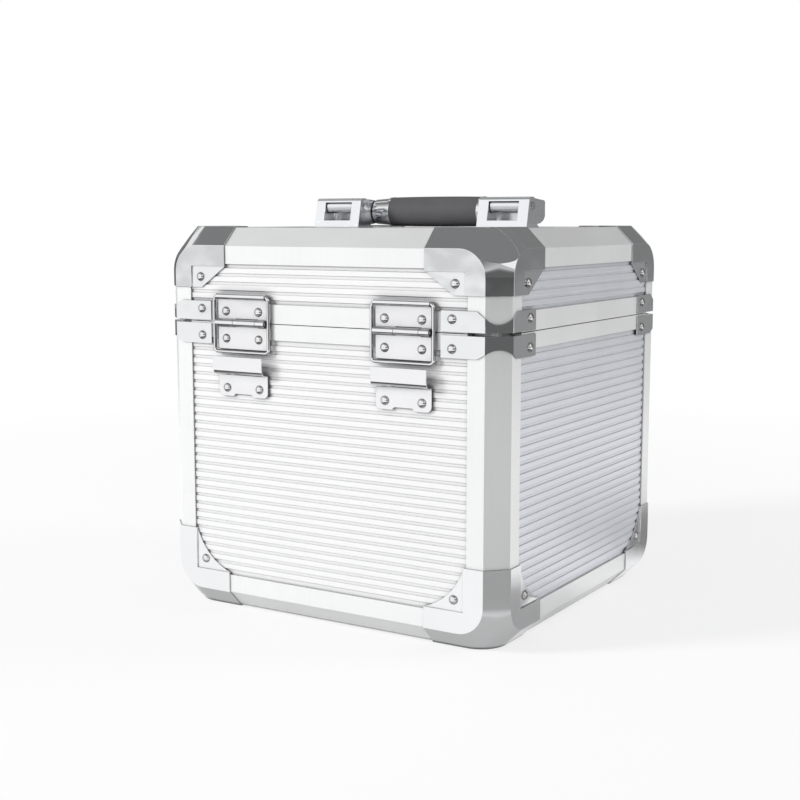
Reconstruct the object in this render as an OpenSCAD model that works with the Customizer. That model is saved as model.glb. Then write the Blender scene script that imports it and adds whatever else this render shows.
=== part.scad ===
// Aluminium-framed art supply case: a deep base and a lid on two stay hinges, with pressed corner
// caps, split-line corner brackets, a folding carrying handle and two draw latches.
// +Z is up, the hinges are on the +Y side and the latches on the -Y side. The origin is under the
// centre of the case, on the surface that the bottom corner caps stand on.

/* [Case] */
// Width of the frame, along the hinge line
case_w = 302; // [260:1:360]
// Depth of the frame, from latches to hinges
case_d = 290; // [240:1:340]
// Height of the closed frame
case_h = 300; // [260:1:360]
// Height of the lid's share of the frame
lid_h = 72.4; // [66:0.2:90]
// Gap between the lid's rim and the base's rim
split_gap = 0.6; // [0.4:0.1:1]

/* [Frame profiles] */
// Leg of the 45 degree bevel along every frame edge
bevel = 14; // [12:0.5:16]
// Reach of a frame profile from the sharp corner along each face
flange = 27.7; // [26:0.1:29]
// Thickness of the profile's outer lip over the panel
lip_t = 1.8; // [1.4:0.1:2.2]
// Thickness of the profile's inner leg behind the panel
leg_t = 1.4; // [1:0.1:2]
// Distance from the sharp corner to the bottom of the panel slot
slot_start = 17; // [16:0.5:18]
// Height of the plain band round the lid's rim
lid_band = 15; // [13:0.5:18]
// Height of the plain band round the base's rim
base_band = 12; // [10:0.5:14]
// Thickness of the rims' closing edge at the split
rim_edge_t = 3; // [2:0.5:4]
// Height of the tongue that stands up inside the lid
tongue_h = 6; // [4:0.5:6]
// Thickness of the tongue frame
tongue_t = 2; // [1.5:0.1:2.4]
// Clearance between the tongue and the lid
tongue_gap = 0.5; // [0.3:0.1:0.8]

/* [Panels] */
// Thickness of a whole panel behind its ribs, skin and board together
panel_t = 5; // [4:0.5:6]
// Thickness of the metal skin on the board
skin_t = 1; // [0.6:0.1:1.4]
// Pitch of the panel ribs
rib_pitch = 6.5; // [5:0.1:8]
// Height of a rib above its panel
rib_h = 0.7; // [0.4:0.1:0.9]
// Width of a rib's flat crest
rib_crest = 4; // [3:0.1:4.4]
// Width of a rib at its foot
rib_foot = 5.4; // [4.5:0.1:6]
// Thickness of the soft lining
lining_t = 2; // [1.5:0.5:3]

/* [Corner caps and brackets] */
// Thickness of the pressed caps and brackets
cap_t = 1; // [0.8:0.1:1.2]
// Reach of a cap's arms from the sharp corner
cap_reach = 62; // [56:1:68]
// Reach of a lid cap down the lid's corner
lid_cap_drop = 46; // [44:1:48]
// Width of a cap's arms from the sharp corner
cap_arm = 29.5; // [29:0.5:31]
// Radius of a cap's rounded corner on each face
cap_arc = 21; // [16:1:22]
// Distance of a cap's rivet from the sharp corner
cap_rivet = 37.8; // [37:0.1:38.5]
// Width left at the end of a lid cap's web
web_end = 38.7; // [36:0.1:42]
// Reach of a split-line bracket from the sharp corner
bracket_reach = 48.5; // [46:0.5:50]
// Distance of a bracket's rivet from the sharp corner
bracket_rivet = 39.5; // [37:0.5:41]
// Height of the base's brackets
base_bracket_h = 15.8; // [15:0.1:18]
// Height of the lid's brackets
lid_bracket_h = 14.8; // [14:0.1:17]
// Distance from the split to a bracket's edge
bracket_gap = 1.2; // [0.8:0.1:1.6]
// Depth of the arch where a bracket crosses the corner bevel
arch_h = 6.5; // [5:0.5:8]

/* [Rivets] */
// Diameter of a rivet's domed head
rivet_head_d = 6.8; // [6:0.1:7.6]
// Height of a rivet's head
rivet_head_h = 2.2; // [1.8:0.1:2.6]
// Diameter of a rivet's shank
rivet_d = 3.2; // [2.8:0.1:4]
// Radial clearance of rivets and screws in their holes
hole_fit = 0.05; // [0.03:0.01:0.1]

/* [Stay hinges] */
// Distance of each hinge's middle from the nearer side of the case
hinge_inset = 79; // [77:1:84]
// Width of the hinge leaves
leaf_w = 46.5; // [44:0.5:50]
// Thickness of the hinge leaves
leaf_t = 1.2; // [1:0.1:1.5]
// Outer radius of the hinge knuckles
knuckle_r = 2.8; // [2.6:0.1:3]
// Radius of the hinge pin
hinge_pin_r = 1.25; // [1.1:0.05:1.4]
// Running clearance round the hinge pin and the stay wire
pin_fit = 0.05; // [0.03:0.01:0.09]
// Distance of the hinge axis from the face of the frame
hinge_out = 3.1; // [3.1:0.1:3.6]
// Reach of the lower leaf below the hinge axis
leaf_drop = 20.2; // [19:0.1:21]
// Distance of the stay's pivot above the hinge axis
stay_rise = 20.2; // [19.5:0.1:21]
// Length of a stay between its two cross runs
stay_len = 42.5; // [42:0.1:43.5]
// Gap between a leaf's end and the stay wire beside it
stay_side = 1.15; // [1.1:0.05:2]
// Radius of the stay wire
stay_r = 1.3; // [1.1:0.05:1.35]
// Distance of each leaf rivet from the hinge's middle
leaf_rivet_x = 15.5; // [14:0.5:17]
// Height of the upper leaf's rivets above the axis
upper_rivet_z = 8.8; // [8:0.1:10]
// Depth of the lower leaf's rivets below the axis
lower_rivet_z = 12.2; // [11:0.1:13]
// Depth of the stay pocket's mouth below the axis
pocket_top = 25.6; // [25:0.1:26.5]
// Depth of the stay pocket's closed end below the axis
pocket_end = 40.1; // [39:0.1:41.5]
// Depth of the pocket flange's lower edge below the axis
pocket_foot = 56.9; // [55:0.1:59]
// Depth of the pocket flange's rivets below the axis
pocket_rivet_z = 50.4; // [49:0.1:51]
// Reach of the pocket's outer wall from the face
pocket_out = 8.5; // [8.4:0.1:9]
// Thickness of the pocket plate
pocket_t = 1; // [0.8:0.1:1.1]

/* [Handle] */
// Inner end of each handle bracket, from the middle of the case
bracket_in = 56; // [54:1:60]
// Width of a handle bracket
bracket_w = 44.5; // [40:0.5:46]
// Height of a handle bracket above the frame
bracket_h = 23.8; // [23.6:0.1:24]
// Distance of the bracket's hinge-side face from the middle, at the frame
bracket_y = 9; // [9:0.1:9.4]
// Distance of the bracket's other face from the middle, at the frame
bracket_back = 10.3; // [10:0.1:10.6]
// Length of the foot behind each bracket
foot_len = 3.2; // [2:0.1:3.4]
// Angle that both faces of a bracket lean inwards
bracket_lean = 12; // [11:0.5:12]
// Radius of a bracket's rounded top edges
bracket_round = 3.4; // [3:0.1:3.6]
// Thickness of a bracket's cheeks
cheek_t = 9; // [7:0.5:10]
// Height of the bracket window's sill above the frame
sill_h = 5.3; // [5:0.1:6]
// Thickness of the beam over the bracket's window
lintel_t = 3.4; // [3.2:0.1:3.6]
// Radius of the handle's pivot pins
pivot_r = 2.7; // [2.3:0.1:2.8]
// Height of the handle's pivot above the frame
pivot_h = 16.8; // [16.7:0.1:16.9]
// Distance of the handle's pivot from the middle, away from the hinges
pivot_y = 1.6; // [1.5:0.1:1.8]
// Distance of the folded grip's axis from the middle
grip_y = 28; // [27.5:0.5:29]
// Height of the folded grip's axis above the frame
grip_h = 12.7; // [12.6:0.1:13]
// Radius of the grip at its middle
grip_r = 12.4; // [11.6:0.1:12.4]
// Radius of the grip at its ends
grip_end_r = 12; // [11:0.1:12.1]
// Half the length of the soft grip
grip_half = 42; // [38:1:44]
// Radius of a ferrule's narrow end
ferrule_end_r = 10.4; // [9:0.1:10.8]
// Radius of the handle bar
bar_r = 5.4; // [4.8:0.1:5.4]
// Inner end of each handle arm's block, from the middle of the case
arm_in = 60; // [58:1:62]
// Outer end of each handle arm's block, from the middle of the case
arm_out = 95; // [93:1:96]
// Distance from the pivot back to an arm's block
arm_front = 12; // [11.5:0.5:12.5]
// Depth of an arm's block behind the bar's axis
arm_back = 7.6; // [7:0.1:8]
// Half the height of an arm's block
arm_half = 10.5; // [10:0.1:10.6]
// Radius of an arm's barrel round the pivot
barrel_r = 5.5; // [5.2:0.1:5.6]
// Height of an arm's lug above the pivot's axis
lug_high = 2; // [1.5:0.1:2.2]
// Depth of an arm's lug below the pivot's axis
lug_low = 4.4; // [4:0.1:4.6]
// Gap between an arm and its bracket
arm_gap = 0.4; // [0.3:0.1:0.6]
// Radius of the bracket screws
screw_r = 2; // [1.5:0.1:2.2]
// Depth that the bracket screws enter the brackets
screw_bite = 5; // [4:0.5:5.5]

/* [Latches] */
// Distance of each latch's middle from the nearer side of the case
latch_inset = 79; // [61:1:84]
// Width of the latch plates
latch_w = 34; // [30:1:40]
// Thickness of the latch plates
latch_t = 1.2; // [1:0.1:1.4]
// Gap between the split line and a latch plate or keeper
latch_edge = 1.5; // [1:0.1:2]
// Depth of a latch plate's lower edge below the split
plate_drop = 57; // [54:0.5:60]
// Height of the keeper plates
keeper_h = 21; // [20:0.5:23]
// Distance of the latch rivets from the latch's middle
latch_rivet_x = 9.5; // [8.5:0.1:9.6]
// Distance of the outer latch rivets from the plates' far edges
latch_rivet_edge = 5; // [4.5:0.1:6]
// Depth of the latch plate's upper rivets below the split
plate_rivet_drop = 24; // [22:0.5:26]
// Height of the plate's ears that hold the lever pin
ear_h = 11; // [10:0.5:12]
// Width of metal round the lever pin in the ears
ear_margin = 3; // [2.6:0.1:3.4]
// Depth of the lever pin below the split
lever_pin_drop = 12; // [11:0.5:13]
// Distance of the lever pin from the face of the frame
lever_pin_out = 6; // [5.8:0.1:6.4]
// Distance from the lever pin down to the bail pivot
crank_drop = 16; // [15:0.5:17]
// Distance that the bail pivot lies inside the lever pin
crank_in = 2.3; // [2.1:0.1:2.5]
// Length of the lever below its pin
lever_len = 32; // [28:1:34]
// Reach of the lever above its pin
lever_heel = 2.5; // [2:0.1:3]
// Length of the lever's finger end, past its side plates
lever_toe = 6; // [5:0.5:8]
// Radius of the lever pin
lever_pin_r = 1.5; // [1.2:0.1:1.7]
// Angle by which the unhooked levers stand open
latch_ajar = 8; // [7:1:9]
// Height of the keeper's ledge above the split
ledge_h = 8.6; // [8:0.1:10]
// Clearance between the keeper's ledge and the unhooked bail
ledge_clear = 0.35; // [0.3:0.05:0.5]
// Clearance between the hooked bail and the ledge
ledge_gap = 0.4; // [0.3:0.05:0.6]
// Radius of the latch bail's wire
bail_r = 1.3; // [1.1:0.1:1.4]

/* [Hidden] */
$fn = 48;
far = 400;                                     // longer than any cut needs to be
cut = 0.01;                                    // overshoot of a cut past a face

z_bottom = cap_t;                              // underside of the frame
z_top = z_bottom + case_h;
z_split = z_top - lid_h;                       // top of the base's rim
z_lid = z_split + split_gap;                   // bottom of the lid's rim
slot_end = lip_t + panel_t;                    // depth of the slot's inner wall
frame_t = slot_end + leg_t;                    // depth of a whole profile
rib_depth = lip_t - rib_h;                     // depth of the ribs' crests
corner_free = bevel + cap_arc + 0.5;           // profiles stop here, inside the caps
bevel_step = (sqrt(2) - 1);                    // shift of a bevel's edge per unit of offset
corner_sum = 3 * bevel + 2 * cap_arc * (1 - sqrt(0.5)) - bevel + 2; // plane that clips inner corners
web_out = cap_t - rib_depth;                   // outer face of a cap's web, from the frame's face
rivet_len = slot_end;                          // depth that shanks reach behind the face
clip = corner_sum - slot_start;                // where a panel's clipped corner starts
knuckle_cuts = [-15, 6];                       // ends of the middle knuckle
knuckle_gap = 0.3;                             // gap between neighbouring knuckles
hinge_x = case_w / 2 - hinge_inset;            // distance of each hinge from the middle
stay_out = stay_r + cap_t + 0.2;               // stay pivot's distance from the face
stay_half = leaf_w / 2 + stay_side + stay_r;   // wire axis of a stay's side runs
bracket_bottom = z_top - rib_depth;            // the handle brackets stand on the ribs
bracket_mid = bracket_in + bracket_w / 2;
bar_end = arm_out - 3;                         // the bar ends inside the arms' blocks
lever_plate = lever_pin_r + 0.3;               // inner face of the lever, from its pin's axis
latch_x = case_w / 2 - latch_inset;            // distance of each latch from the middle
latch_half = latch_w / 2;
lever_half = latch_half - latch_t - 0.4;       // half width of the lever between its ears
keeper_top = z_split + latch_edge + keeper_h;
bail_half = latch_half + 0.9 + bail_r;         // wire axis of the bail's side runs
crank_z = z_split - lever_pin_drop - crank_drop;
hook_z = z_split + ledge_h + ledge_gap + bail_r; // hooked height of the bail's top run
// Bail pivot at rest, outwards and upwards from the lever pin
crank = [crank_drop * sin(latch_ajar) - crank_in * cos(latch_ajar),
         -crank_drop * cos(latch_ajar) - crank_in * sin(latch_ajar)];
ledge_out = lever_pin_out + crank[0] - bail_r - ledge_clear; // outer edge of the keeper's ledge

// Turn, distance from the middle and width of each side: back, front, right, left
SIDES = [[0, case_d / 2, case_w], [180, case_d / 2, case_w],
         [-90, case_w / 2, case_d], [90, case_w / 2, case_d]];
BACK = 0;
FRONT = 1;
RIGHT = 2;
LEFT = 3;

// Places children on a side of the case: X along it, Y outwards from its face, Z up
module on_side(i) {
    rotate([0, 0, SIDES[i][0]]) translate([0, SIDES[i][1], 0]) children();
}

// Places children at the four upright edges, with +X and +Y pointing into the case
module at_corners() {
    for (flip_x = [0, 1], flip_y = [0, 1])
        mirror([flip_x, 0, 0]) mirror([0, flip_y, 0])
            translate([-case_w / 2, -case_d / 2, 0]) children();
}

// Places children twice, at x and at -x
module pair(x) {
    for (side = [-1, 1]) translate([side * x, 0, 0]) children();
}

// Sweeps a Y-Z outline along X, centred
module along_x(length) {
    translate([-length / 2, 0, 0]) rotate([90, 0, 90]) linear_extrude(length) children();
}

module x_cylinder(r, length) {
    rotate([0, 90, 0]) cylinder(r = r, h = length, center = true);
}

// ---- Rivets ----

// Rivet places on a side, as [x, z, outward place of the seat]
function mirrored(list) = [for (p = list, s = [-1, 1]) [s * p[0], p[1], p[2]]];
function around(x, list) = [for (p = list, s = [-1, 1]) [s * x + p[0], p[1], p[2]]];

function base_places(i) = let (half = SIDES[i][2] / 2) concat(
    mirrored([[half - cap_rivet, z_bottom + cap_rivet, web_out],
              [half - bracket_rivet, z_split - bracket_gap - base_bracket_h / 2 - 1.5, cap_t]]),
    i != BACK ? [] : around(hinge_x, concat(
        mirrored([[leaf_rivet_x, z_split - lower_rivet_z, leaf_t]]),
        mirrored([[leaf_rivet_x, z_split - pocket_rivet_z, pocket_t]]))),
    i != FRONT ? [] : around(latch_x, mirrored(
        [[latch_rivet_x, z_split - plate_drop + latch_rivet_edge, latch_t],
         [latch_rivet_x, z_split - plate_rivet_drop, latch_t]])));

function lid_places(i) = let (half = SIDES[i][2] / 2) concat(
    mirrored([[half - cap_rivet, z_top - cap_rivet, web_out],
              [half - bracket_rivet, z_split + bracket_gap + lid_bracket_h / 2 + 1.5, cap_t]]),
    i != BACK ? [] : around(hinge_x, mirrored([[leaf_rivet_x, z_split + upper_rivet_z, leaf_t]])),
    i != FRONT ? [] : around(latch_x, mirrored(
        [[latch_rivet_x, keeper_top - latch_rivet_edge, latch_t]])));

module rivet(seat) {
    dome_r = (pow(rivet_head_d / 2, 2) + pow(rivet_head_h, 2)) / (2 * rivet_head_h);
    rotate([-90, 0, 0]) {
        intersection() {
            translate([0, 0, seat + rivet_head_h - dome_r]) sphere(r = dome_r, $fn = 32);
            translate([0, 0, seat]) cylinder(r = rivet_head_d, h = rivet_head_h + 1);
        }
        translate([0, 0, -rivet_len]) cylinder(d = rivet_d, h = rivet_len + seat + cut, $fn = 24);
    }
}

module rivet_hole() {
    rotate([90, 0, 0])
        translate([0, 0, -pocket_out]) cylinder(r = rivet_d / 2 + hole_fit, h = pocket_out + rivet_len, $fn = 24);
}

module base_rivet_holes(sides = [0:3]) {
    for (i = sides, p = base_places(i)) on_side(i) translate([p[0], 0, p[1]]) rivet_hole();
}

module lid_rivet_holes(sides = [0:3]) {
    for (i = sides, p = lid_places(i)) on_side(i) translate([p[0], 0, p[1]]) rivet_hole();
}

module base_rivets() {
    color("gainsboro")
        for (i = [0:3], p = base_places(i)) on_side(i) translate([p[0], 0, p[1]]) rivet(p[2]);
}

module lid_rivets() {
    color("gainsboro")
        for (i = [0:3], p = lid_places(i)) on_side(i) translate([p[0], 0, p[1]]) rivet(p[2]);
}

// ---- Panels ----

// Plate on the X-Z plane between two depths, with its corners clipped to clear the caps
module plate(half, z_low, z_high, from, to, clip_low, clip_high) {
    low = clip_low ? clip - slot_start : 0;
    high = clip_high ? clip - slot_start : 0;
    translate([0, -from, 0]) rotate([90, 0, 0]) linear_extrude(to - from)
        polygon([[-half + low, z_low], [half - low, z_low], [half, z_low + low],
                 [half, z_high - high], [half - high, z_high], [-half + high, z_high],
                 [-half, z_high - high], [-half, z_low + low]]);
}

// Rows of ribs along X on the X-Z plane, standing out of a skin between two heights
module ribs(half, low, high) {
    count = floor((high - low) / rib_pitch);
    first = (low + high - (count - 1) * rib_pitch) / 2;
    translate([0, -lip_t, 0]) along_x(2 * half) polygon(concat(
        [[-skin_t / 2, low]],
        [for (k = [0:count - 1], p = [[0, -rib_foot], [rib_h, -rib_crest],
                                      [rib_h, rib_crest], [0, rib_foot]])
            [p[0], first + k * rib_pitch + p[1] / 2]],
        [[-skin_t / 2, high]]));
}

module base_side_plate(i, from, to) {
    on_side(i) plate(SIDES[i][2] / 2 - slot_start, z_bottom + slot_start, z_split - rim_edge_t,
                     from, to, true, false);
}

module lid_side_plate(i, from, to) {
    on_side(i) plate(SIDES[i][2] / 2 - slot_start, z_lid + rim_edge_t, z_top - slot_start,
                     from, to, false, true);
}

// Level plates lie on the X-Y plane at the sharp edge's height, with depth measured downwards
module level_plate(from, to) {
    rotate([90, 0, 0]) plate(case_w / 2 - slot_start, slot_start - case_d / 2,
                             case_d / 2 - slot_start, from, to, true, true);
}

module base_skin(i) {
    difference() {
        union() {
            base_side_plate(i, lip_t, lip_t + skin_t);
            on_side(i) ribs(SIDES[i][2] / 2 - flange, z_bottom + flange, z_split - base_band);
        }
        base_rivet_holes([i]);
    }
}

module lid_skin(i) {
    difference() {
        union() {
            lid_side_plate(i, lip_t, lip_t + skin_t);
            on_side(i) ribs(SIDES[i][2] / 2 - flange, z_split + lid_band, z_top - flange);
        }
        lid_rivet_holes([i]);
    }
}

module base_back_panel() { color("white") base_skin(BACK); }
module base_front_panel() { color("white") base_skin(FRONT); }
module base_left_panel() { color("lightsteelblue") base_skin(LEFT); }
module base_right_panel() { color("lightsteelblue") base_skin(RIGHT); }
module lid_back_panel() { color("white") lid_skin(BACK); }
module lid_front_panel() { color("white") lid_skin(FRONT); }
module lid_left_panel() { color("lightsteelblue") lid_skin(LEFT); }
module lid_right_panel() { color("lightsteelblue") lid_skin(RIGHT); }

module base_bottom_panel() {
    color("lightgray") translate([0, 0, z_bottom]) mirror([0, 0, 1])
        level_plate(lip_t, lip_t + skin_t);
}

module lid_top_panel() {
    color("lightsteelblue") difference() {
        translate([0, 0, z_top]) {
            level_plate(lip_t, lip_t + skin_t);
            rotate([90, 0, 0])
                ribs(case_w / 2 - flange, flange - case_d / 2, case_d / 2 - flange);
        }
        at_bracket_screws() screw_hole();
    }
}

module base_boards() {
    color("burlywood") difference() {
        union() {
            for (i = [0:3]) base_side_plate(i, lip_t + skin_t, slot_end);
            translate([0, 0, z_bottom]) mirror([0, 0, 1]) level_plate(lip_t + skin_t, slot_end);
        }
        base_rivet_holes();
    }
}

module lid_boards() {
    color("burlywood") difference() {
        union() {
            for (i = [0:3]) lid_side_plate(i, lip_t + skin_t, slot_end);
            translate([0, 0, z_top]) level_plate(lip_t + skin_t, slot_end);
        }
        lid_rivet_holes();
        at_bracket_screws() screw_hole();
    }
}

// ---- Frame profiles ----

// Section of the edge profile, with its sharp corner at the origin and a slot for each panel
module edge_section() {
    inner = bevel + lip_t;
    difference() {
        polygon([[flange, 0], [bevel, 0], [0, bevel], [0, flange], [lip_t, flange],
                 [lip_t, slot_start], [slot_end, slot_start], [slot_end, flange],
                 [frame_t, flange], [frame_t, frame_t], [flange, frame_t], [flange, slot_end],
                 [slot_start, slot_end], [slot_start, lip_t], [flange, lip_t]]);
        polygon([[inner - 1, lip_t], [slot_start - lip_t, lip_t], [slot_start - lip_t, slot_end - leg_t],
                 [slot_end - leg_t, slot_start - lip_t], [lip_t, slot_start - lip_t],
                 [lip_t, inner - 1]]);
    }
}

module base_posts() {
    color("silver") difference() {
        at_corners() translate([0, 0, z_bottom + corner_free])
            linear_extrude(z_split - bracket_gap - z_bottom - corner_free) edge_section();
        base_rivet_holes();
    }
}

module lid_posts() {
    color("silver") difference() {
        at_corners() translate([0, 0, z_split + bracket_gap])
            linear_extrude(z_top - corner_free - z_split - bracket_gap) edge_section();
        lid_rivet_holes();
    }
}

// The four level rails of one end of the case, drawn for the bottom
module level_rails() {
    long_x = case_w - 2 * corner_free;
    long_y = case_d - 2 * corner_free;
    for (flip = [0, 1]) {
        mirror([0, flip, 0]) translate([0, -case_d / 2, 0]) along_x(long_x) edge_section();
        mirror([flip, 0, 0]) translate([-case_w / 2, long_y / 2, 0])
            rotate([90, 0, 0]) linear_extrude(long_y) edge_section();
    }
}

module base_rails() {
    color("silver") difference() {
        translate([0, 0, z_bottom]) level_rails();
        base_rivet_holes();
    }
}

module lid_rails() {
    color("silver") difference() {
        translate([0, 0, z_top]) mirror([0, 0, 1]) level_rails();
        lid_rivet_holes();
    }
}

// Rim strip section: lip, panel slot and inner leg hanging from a closing edge at height 0
module rim_section(band) {
    polygon([[0, 0], [0, -band], [-lip_t, -band], [-lip_t, -rim_edge_t], [-slot_end, -rim_edge_t],
             [-slot_end, -band], [-frame_t, -band], [-frame_t, 0]]);
}

module base_rim() {
    color("silver") difference() {
        for (i = [0:3]) on_side(i) translate([0, 0, z_split])
            along_x(SIDES[i][2] - 2 * flange) rim_section(base_band);
        base_rivet_holes();
    }
}

module lid_rim() {
    color("silver") difference() {
        for (i = [0:3]) on_side(i) translate([0, 0, z_lid]) mirror([0, 0, 1])
            along_x(SIDES[i][2] - 2 * flange) rim_section(lid_band - split_gap);
        lid_rivet_holes();
    }
}

// A rectangular ring whose outer faces lie at a depth inside the frame
module ring(depth, thickness, z_low, z_high) {
    translate([0, 0, z_low]) linear_extrude(z_high - z_low) difference() {
        square([case_w - 2 * depth, case_d - 2 * depth], center = true);
        square([case_w - 2 * (depth + thickness), case_d - 2 * (depth + thickness)], center = true);
    }
}

module base_tongue() {
    color("silver") {
        ring(frame_t, tongue_t, z_split - base_band, z_split);
        ring(frame_t + tongue_gap, tongue_t - tongue_gap, z_split - cut, z_split + tongue_h);
    }
}

// ---- Linings ----

// Solid block inside the frame with its bottom corners clipped, its walls at a depth
module lining_block(depth, floor_z, top_z) {
    x = case_w / 2 - depth;
    y = case_d / 2 - depth;
    c = corner_sum + sqrt(3) * (depth - frame_t) - 2 * depth - floor_z;
    hull() for (sx = [-1, 1], sy = [-1, 1])
        polyhedron([[sx * x, sy * y, floor_z + c], [sx * (x - c), sy * y, floor_z],
                    [sx * x, sy * (y - c), floor_z], [sx * x, sy * y, top_z]],
                   [[0, 1, 2], [0, 1, 3], [0, 2, 3], [1, 2, 3]]);
}

module lining(top_z) {
    gap = 0.3;
    out = frame_t + gap;
    difference() {
        lining_block(out, out, top_z);
        lining_block(out + lining_t, out + lining_t, top_z + 10);
    }
}

module base_lining() {
    color("dimgray") translate([0, 0, z_bottom]) lining(z_split - base_band - 0.3 - z_bottom);
}

module lid_lining() {
    color("dimgray") translate([0, 0, z_top]) mirror([0, 0, 1])
        lining(z_top - z_split - tongue_h - 1);
}

// ---- Corner caps ----

// Block with bevelled edges and rounded faces round a sharp corner at the origin
module cap_form(t, reach) {
    edge = bevel - bevel_step * t;
    c = edge + cap_arc;
    hull() for (turn = [0:2]) rotate(turn * 120, [1, 1, 1]) {
        translate([c, c, -t]) cylinder(r = cap_arc, h = 1, $fn = 64);
        translate([edge, reach - 1, -t]) cube([reach - edge, 1, 1]);
        translate([reach - 1, edge, -t]) cube([1, reach - edge, 1]);
    }
}

// Outline of a cap's web: straight for the lid, hollowed in an arc for the base
module web_outline(drop, hollow) {
    start = cap_arm - cap_t;
    reach = cap_reach;
    arc_c = 2.6 * cap_arm;
    difference() {
        polygon(drop < reach
            ? [[start, start], [reach, start], [reach, cap_arm], [web_end, drop], [start, drop]]
            : [[start, start], [reach, start], [reach, cap_arm], [cap_arm, reach], [start, reach]]);
        if (hollow) translate([arc_c, arc_c])
            circle(r = norm([arc_c - cap_arm, arc_c - reach]), $fn = 96);
    }
}

module cap(drop, hollow) {
    size = [cap_reach + cap_t, cap_reach + cap_t, drop + cap_t];
    difference() {
        intersection() {
            cap_form(cap_t, 1.5 * cap_reach);
            translate([-cap_t, -cap_t, -cap_t]) cube(size);
        }
        cap_form(0, 2 * cap_reach);
        for (turn = [0:2]) rotate(turn * 120, [1, 1, 1])
            translate([cap_arm, cap_arm, -5]) cube([far, far, 10]);
    }
    // webs: on the side along X, on the side along Y and on the level face
    translate([0, rib_depth, 0]) rotate([90, 0, 0]) web(drop, hollow, drop);
    mirror([1, -1, 0]) translate([0, rib_depth, 0]) rotate([90, 0, 0]) web(drop, hollow, drop);
    translate([0, 0, rib_depth]) mirror([0, 0, 1]) web(cap_reach, hollow, cap_reach);
}

// Web plate with the step that joins it to the arms' edges
module web(drop, hollow, high) {
    linear_extrude(cap_t) web_outline(drop, hollow);
    step = rib_depth + cap_t;
    linear_extrude(step) {
        translate([cap_arm - cap_t, cap_arm - cap_t]) square([cap_reach - cap_arm + cap_t, cap_t]);
        translate([cap_arm - cap_t, cap_arm - cap_t]) square([cap_t, high - cap_arm + cap_t]);
    }
}

module base_corner_caps() {
    color("lightslategray") difference() {
        at_corners() translate([0, 0, z_bottom]) cap(cap_reach, true);
        base_rivet_holes();
    }
}

module lid_corner_caps() {
    color("gray") difference() {
        at_corners() translate([0, 0, z_top]) mirror([0, 0, 1]) cap(lid_cap_drop, false);
        lid_rivet_holes();
    }
}

// ---- Split-line brackets ----

// Strip bent round an upright edge, from height 0 up, with its lower edge arched over the bevel
module bracket(height, arch) {
    edge = bevel - bevel_step * cap_t;
    span = bevel * sqrt(2);
    rise = arch / 2;
    arch_r = (pow(span / 2, 2) + pow(rise, 2)) / (2 * rise);
    difference() {
        linear_extrude(height)
            polygon([[bracket_reach, -cap_t], [edge, -cap_t], [-cap_t, edge],
                     [-cap_t, bracket_reach], [0, bracket_reach], [0, bevel], [bevel, 0],
                     [bracket_reach, 0]]);
        translate([bevel / 2, bevel / 2, arch - arch_r]) rotate([0, 90, 45])
            cylinder(r = arch_r, h = 3 * bevel, center = true);
        for (flip = [0, 1]) mirror([flip, -flip, 0]) rotate([90, 0, 0])
            translate([0, 0, -bevel / 2]) linear_extrude(bevel)
                polygon([[bevel + 6, -cut], [0, -cut], [0, arch - rise], [bevel, arch - rise]]);
    }
}

module base_corner_brackets() {
    color("gray") difference() {
        at_corners() translate([0, 0, z_split - bracket_gap - base_bracket_h])
            bracket(base_bracket_h, arch_h);
        base_rivet_holes();
    }
}

module lid_corner_brackets() {
    color("gray") difference() {
        at_corners() translate([0, 0, z_split + bracket_gap + lid_bracket_h]) mirror([0, 0, 1])
            bracket(lid_bracket_h, arch_h + 2.5);
        lid_rivet_holes();
    }
}

// ---- Stay hinges ----

module at_hinges() {
    on_side(BACK) translate([0, 0, z_split]) pair(hinge_x) children();
}

// One run of the barrel between two places along the hinge line
module knuckle(from, to, leaf_up) {
    translate([(from + to) / 2, hinge_out, 0]) x_cylinder(knuckle_r, to - from);
    translate([from, 0, leaf_up ? 0.9 : -0.9 - knuckle_r]) cube([to - from, leaf_t, knuckle_r]);
}

module leaf_bores() {
    at_hinges() translate([0, hinge_out, 0]) x_cylinder(hinge_pin_r + pin_fit, 2 * leaf_w);
}

module hinge_upper_leaves() {
    half = leaf_w / 2;
    clear = knuckle_r + 0.5;
    eye_r = stay_r + cap_t;
    color("silver") difference() {
        at_hinges() {
            knuckle(-half, knuckle_cuts[0] - knuckle_gap / 2, true);
            knuckle(knuckle_cuts[1] + knuckle_gap / 2, half, true);
            translate([-half, 0, clear]) cube([leaf_w, leaf_t, stay_rise - clear]);
            translate([0, stay_out, stay_rise]) x_cylinder(eye_r, leaf_w);
        }
        at_hinges() translate([0, stay_out, stay_rise]) x_cylinder(stay_r + pin_fit, 2 * leaf_w);
        leaf_bores();
        lid_rivet_holes([BACK]);
    }
}

module hinge_lower_leaves() {
    half = leaf_w / 2;
    clear = knuckle_r + 0.5;
    color("silver") difference() {
        at_hinges() {
            knuckle(knuckle_cuts[0] + knuckle_gap / 2, knuckle_cuts[1] - knuckle_gap / 2, false);
            translate([-half, 0, -leaf_drop]) cube([leaf_w, leaf_t, leaf_drop - clear]);
        }
        leaf_bores();
        base_rivet_holes([BACK]);
    }
}

module hinge_pins() {
    head = 0.8;
    color("dimgray") at_hinges() translate([0, hinge_out, 0]) {
        x_cylinder(hinge_pin_r, leaf_w + 0.4 + 2 * head);
        pair(leaf_w / 2 + 0.2 + head / 2) x_cylinder(hinge_pin_r + 0.6, head);
    }
}

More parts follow.
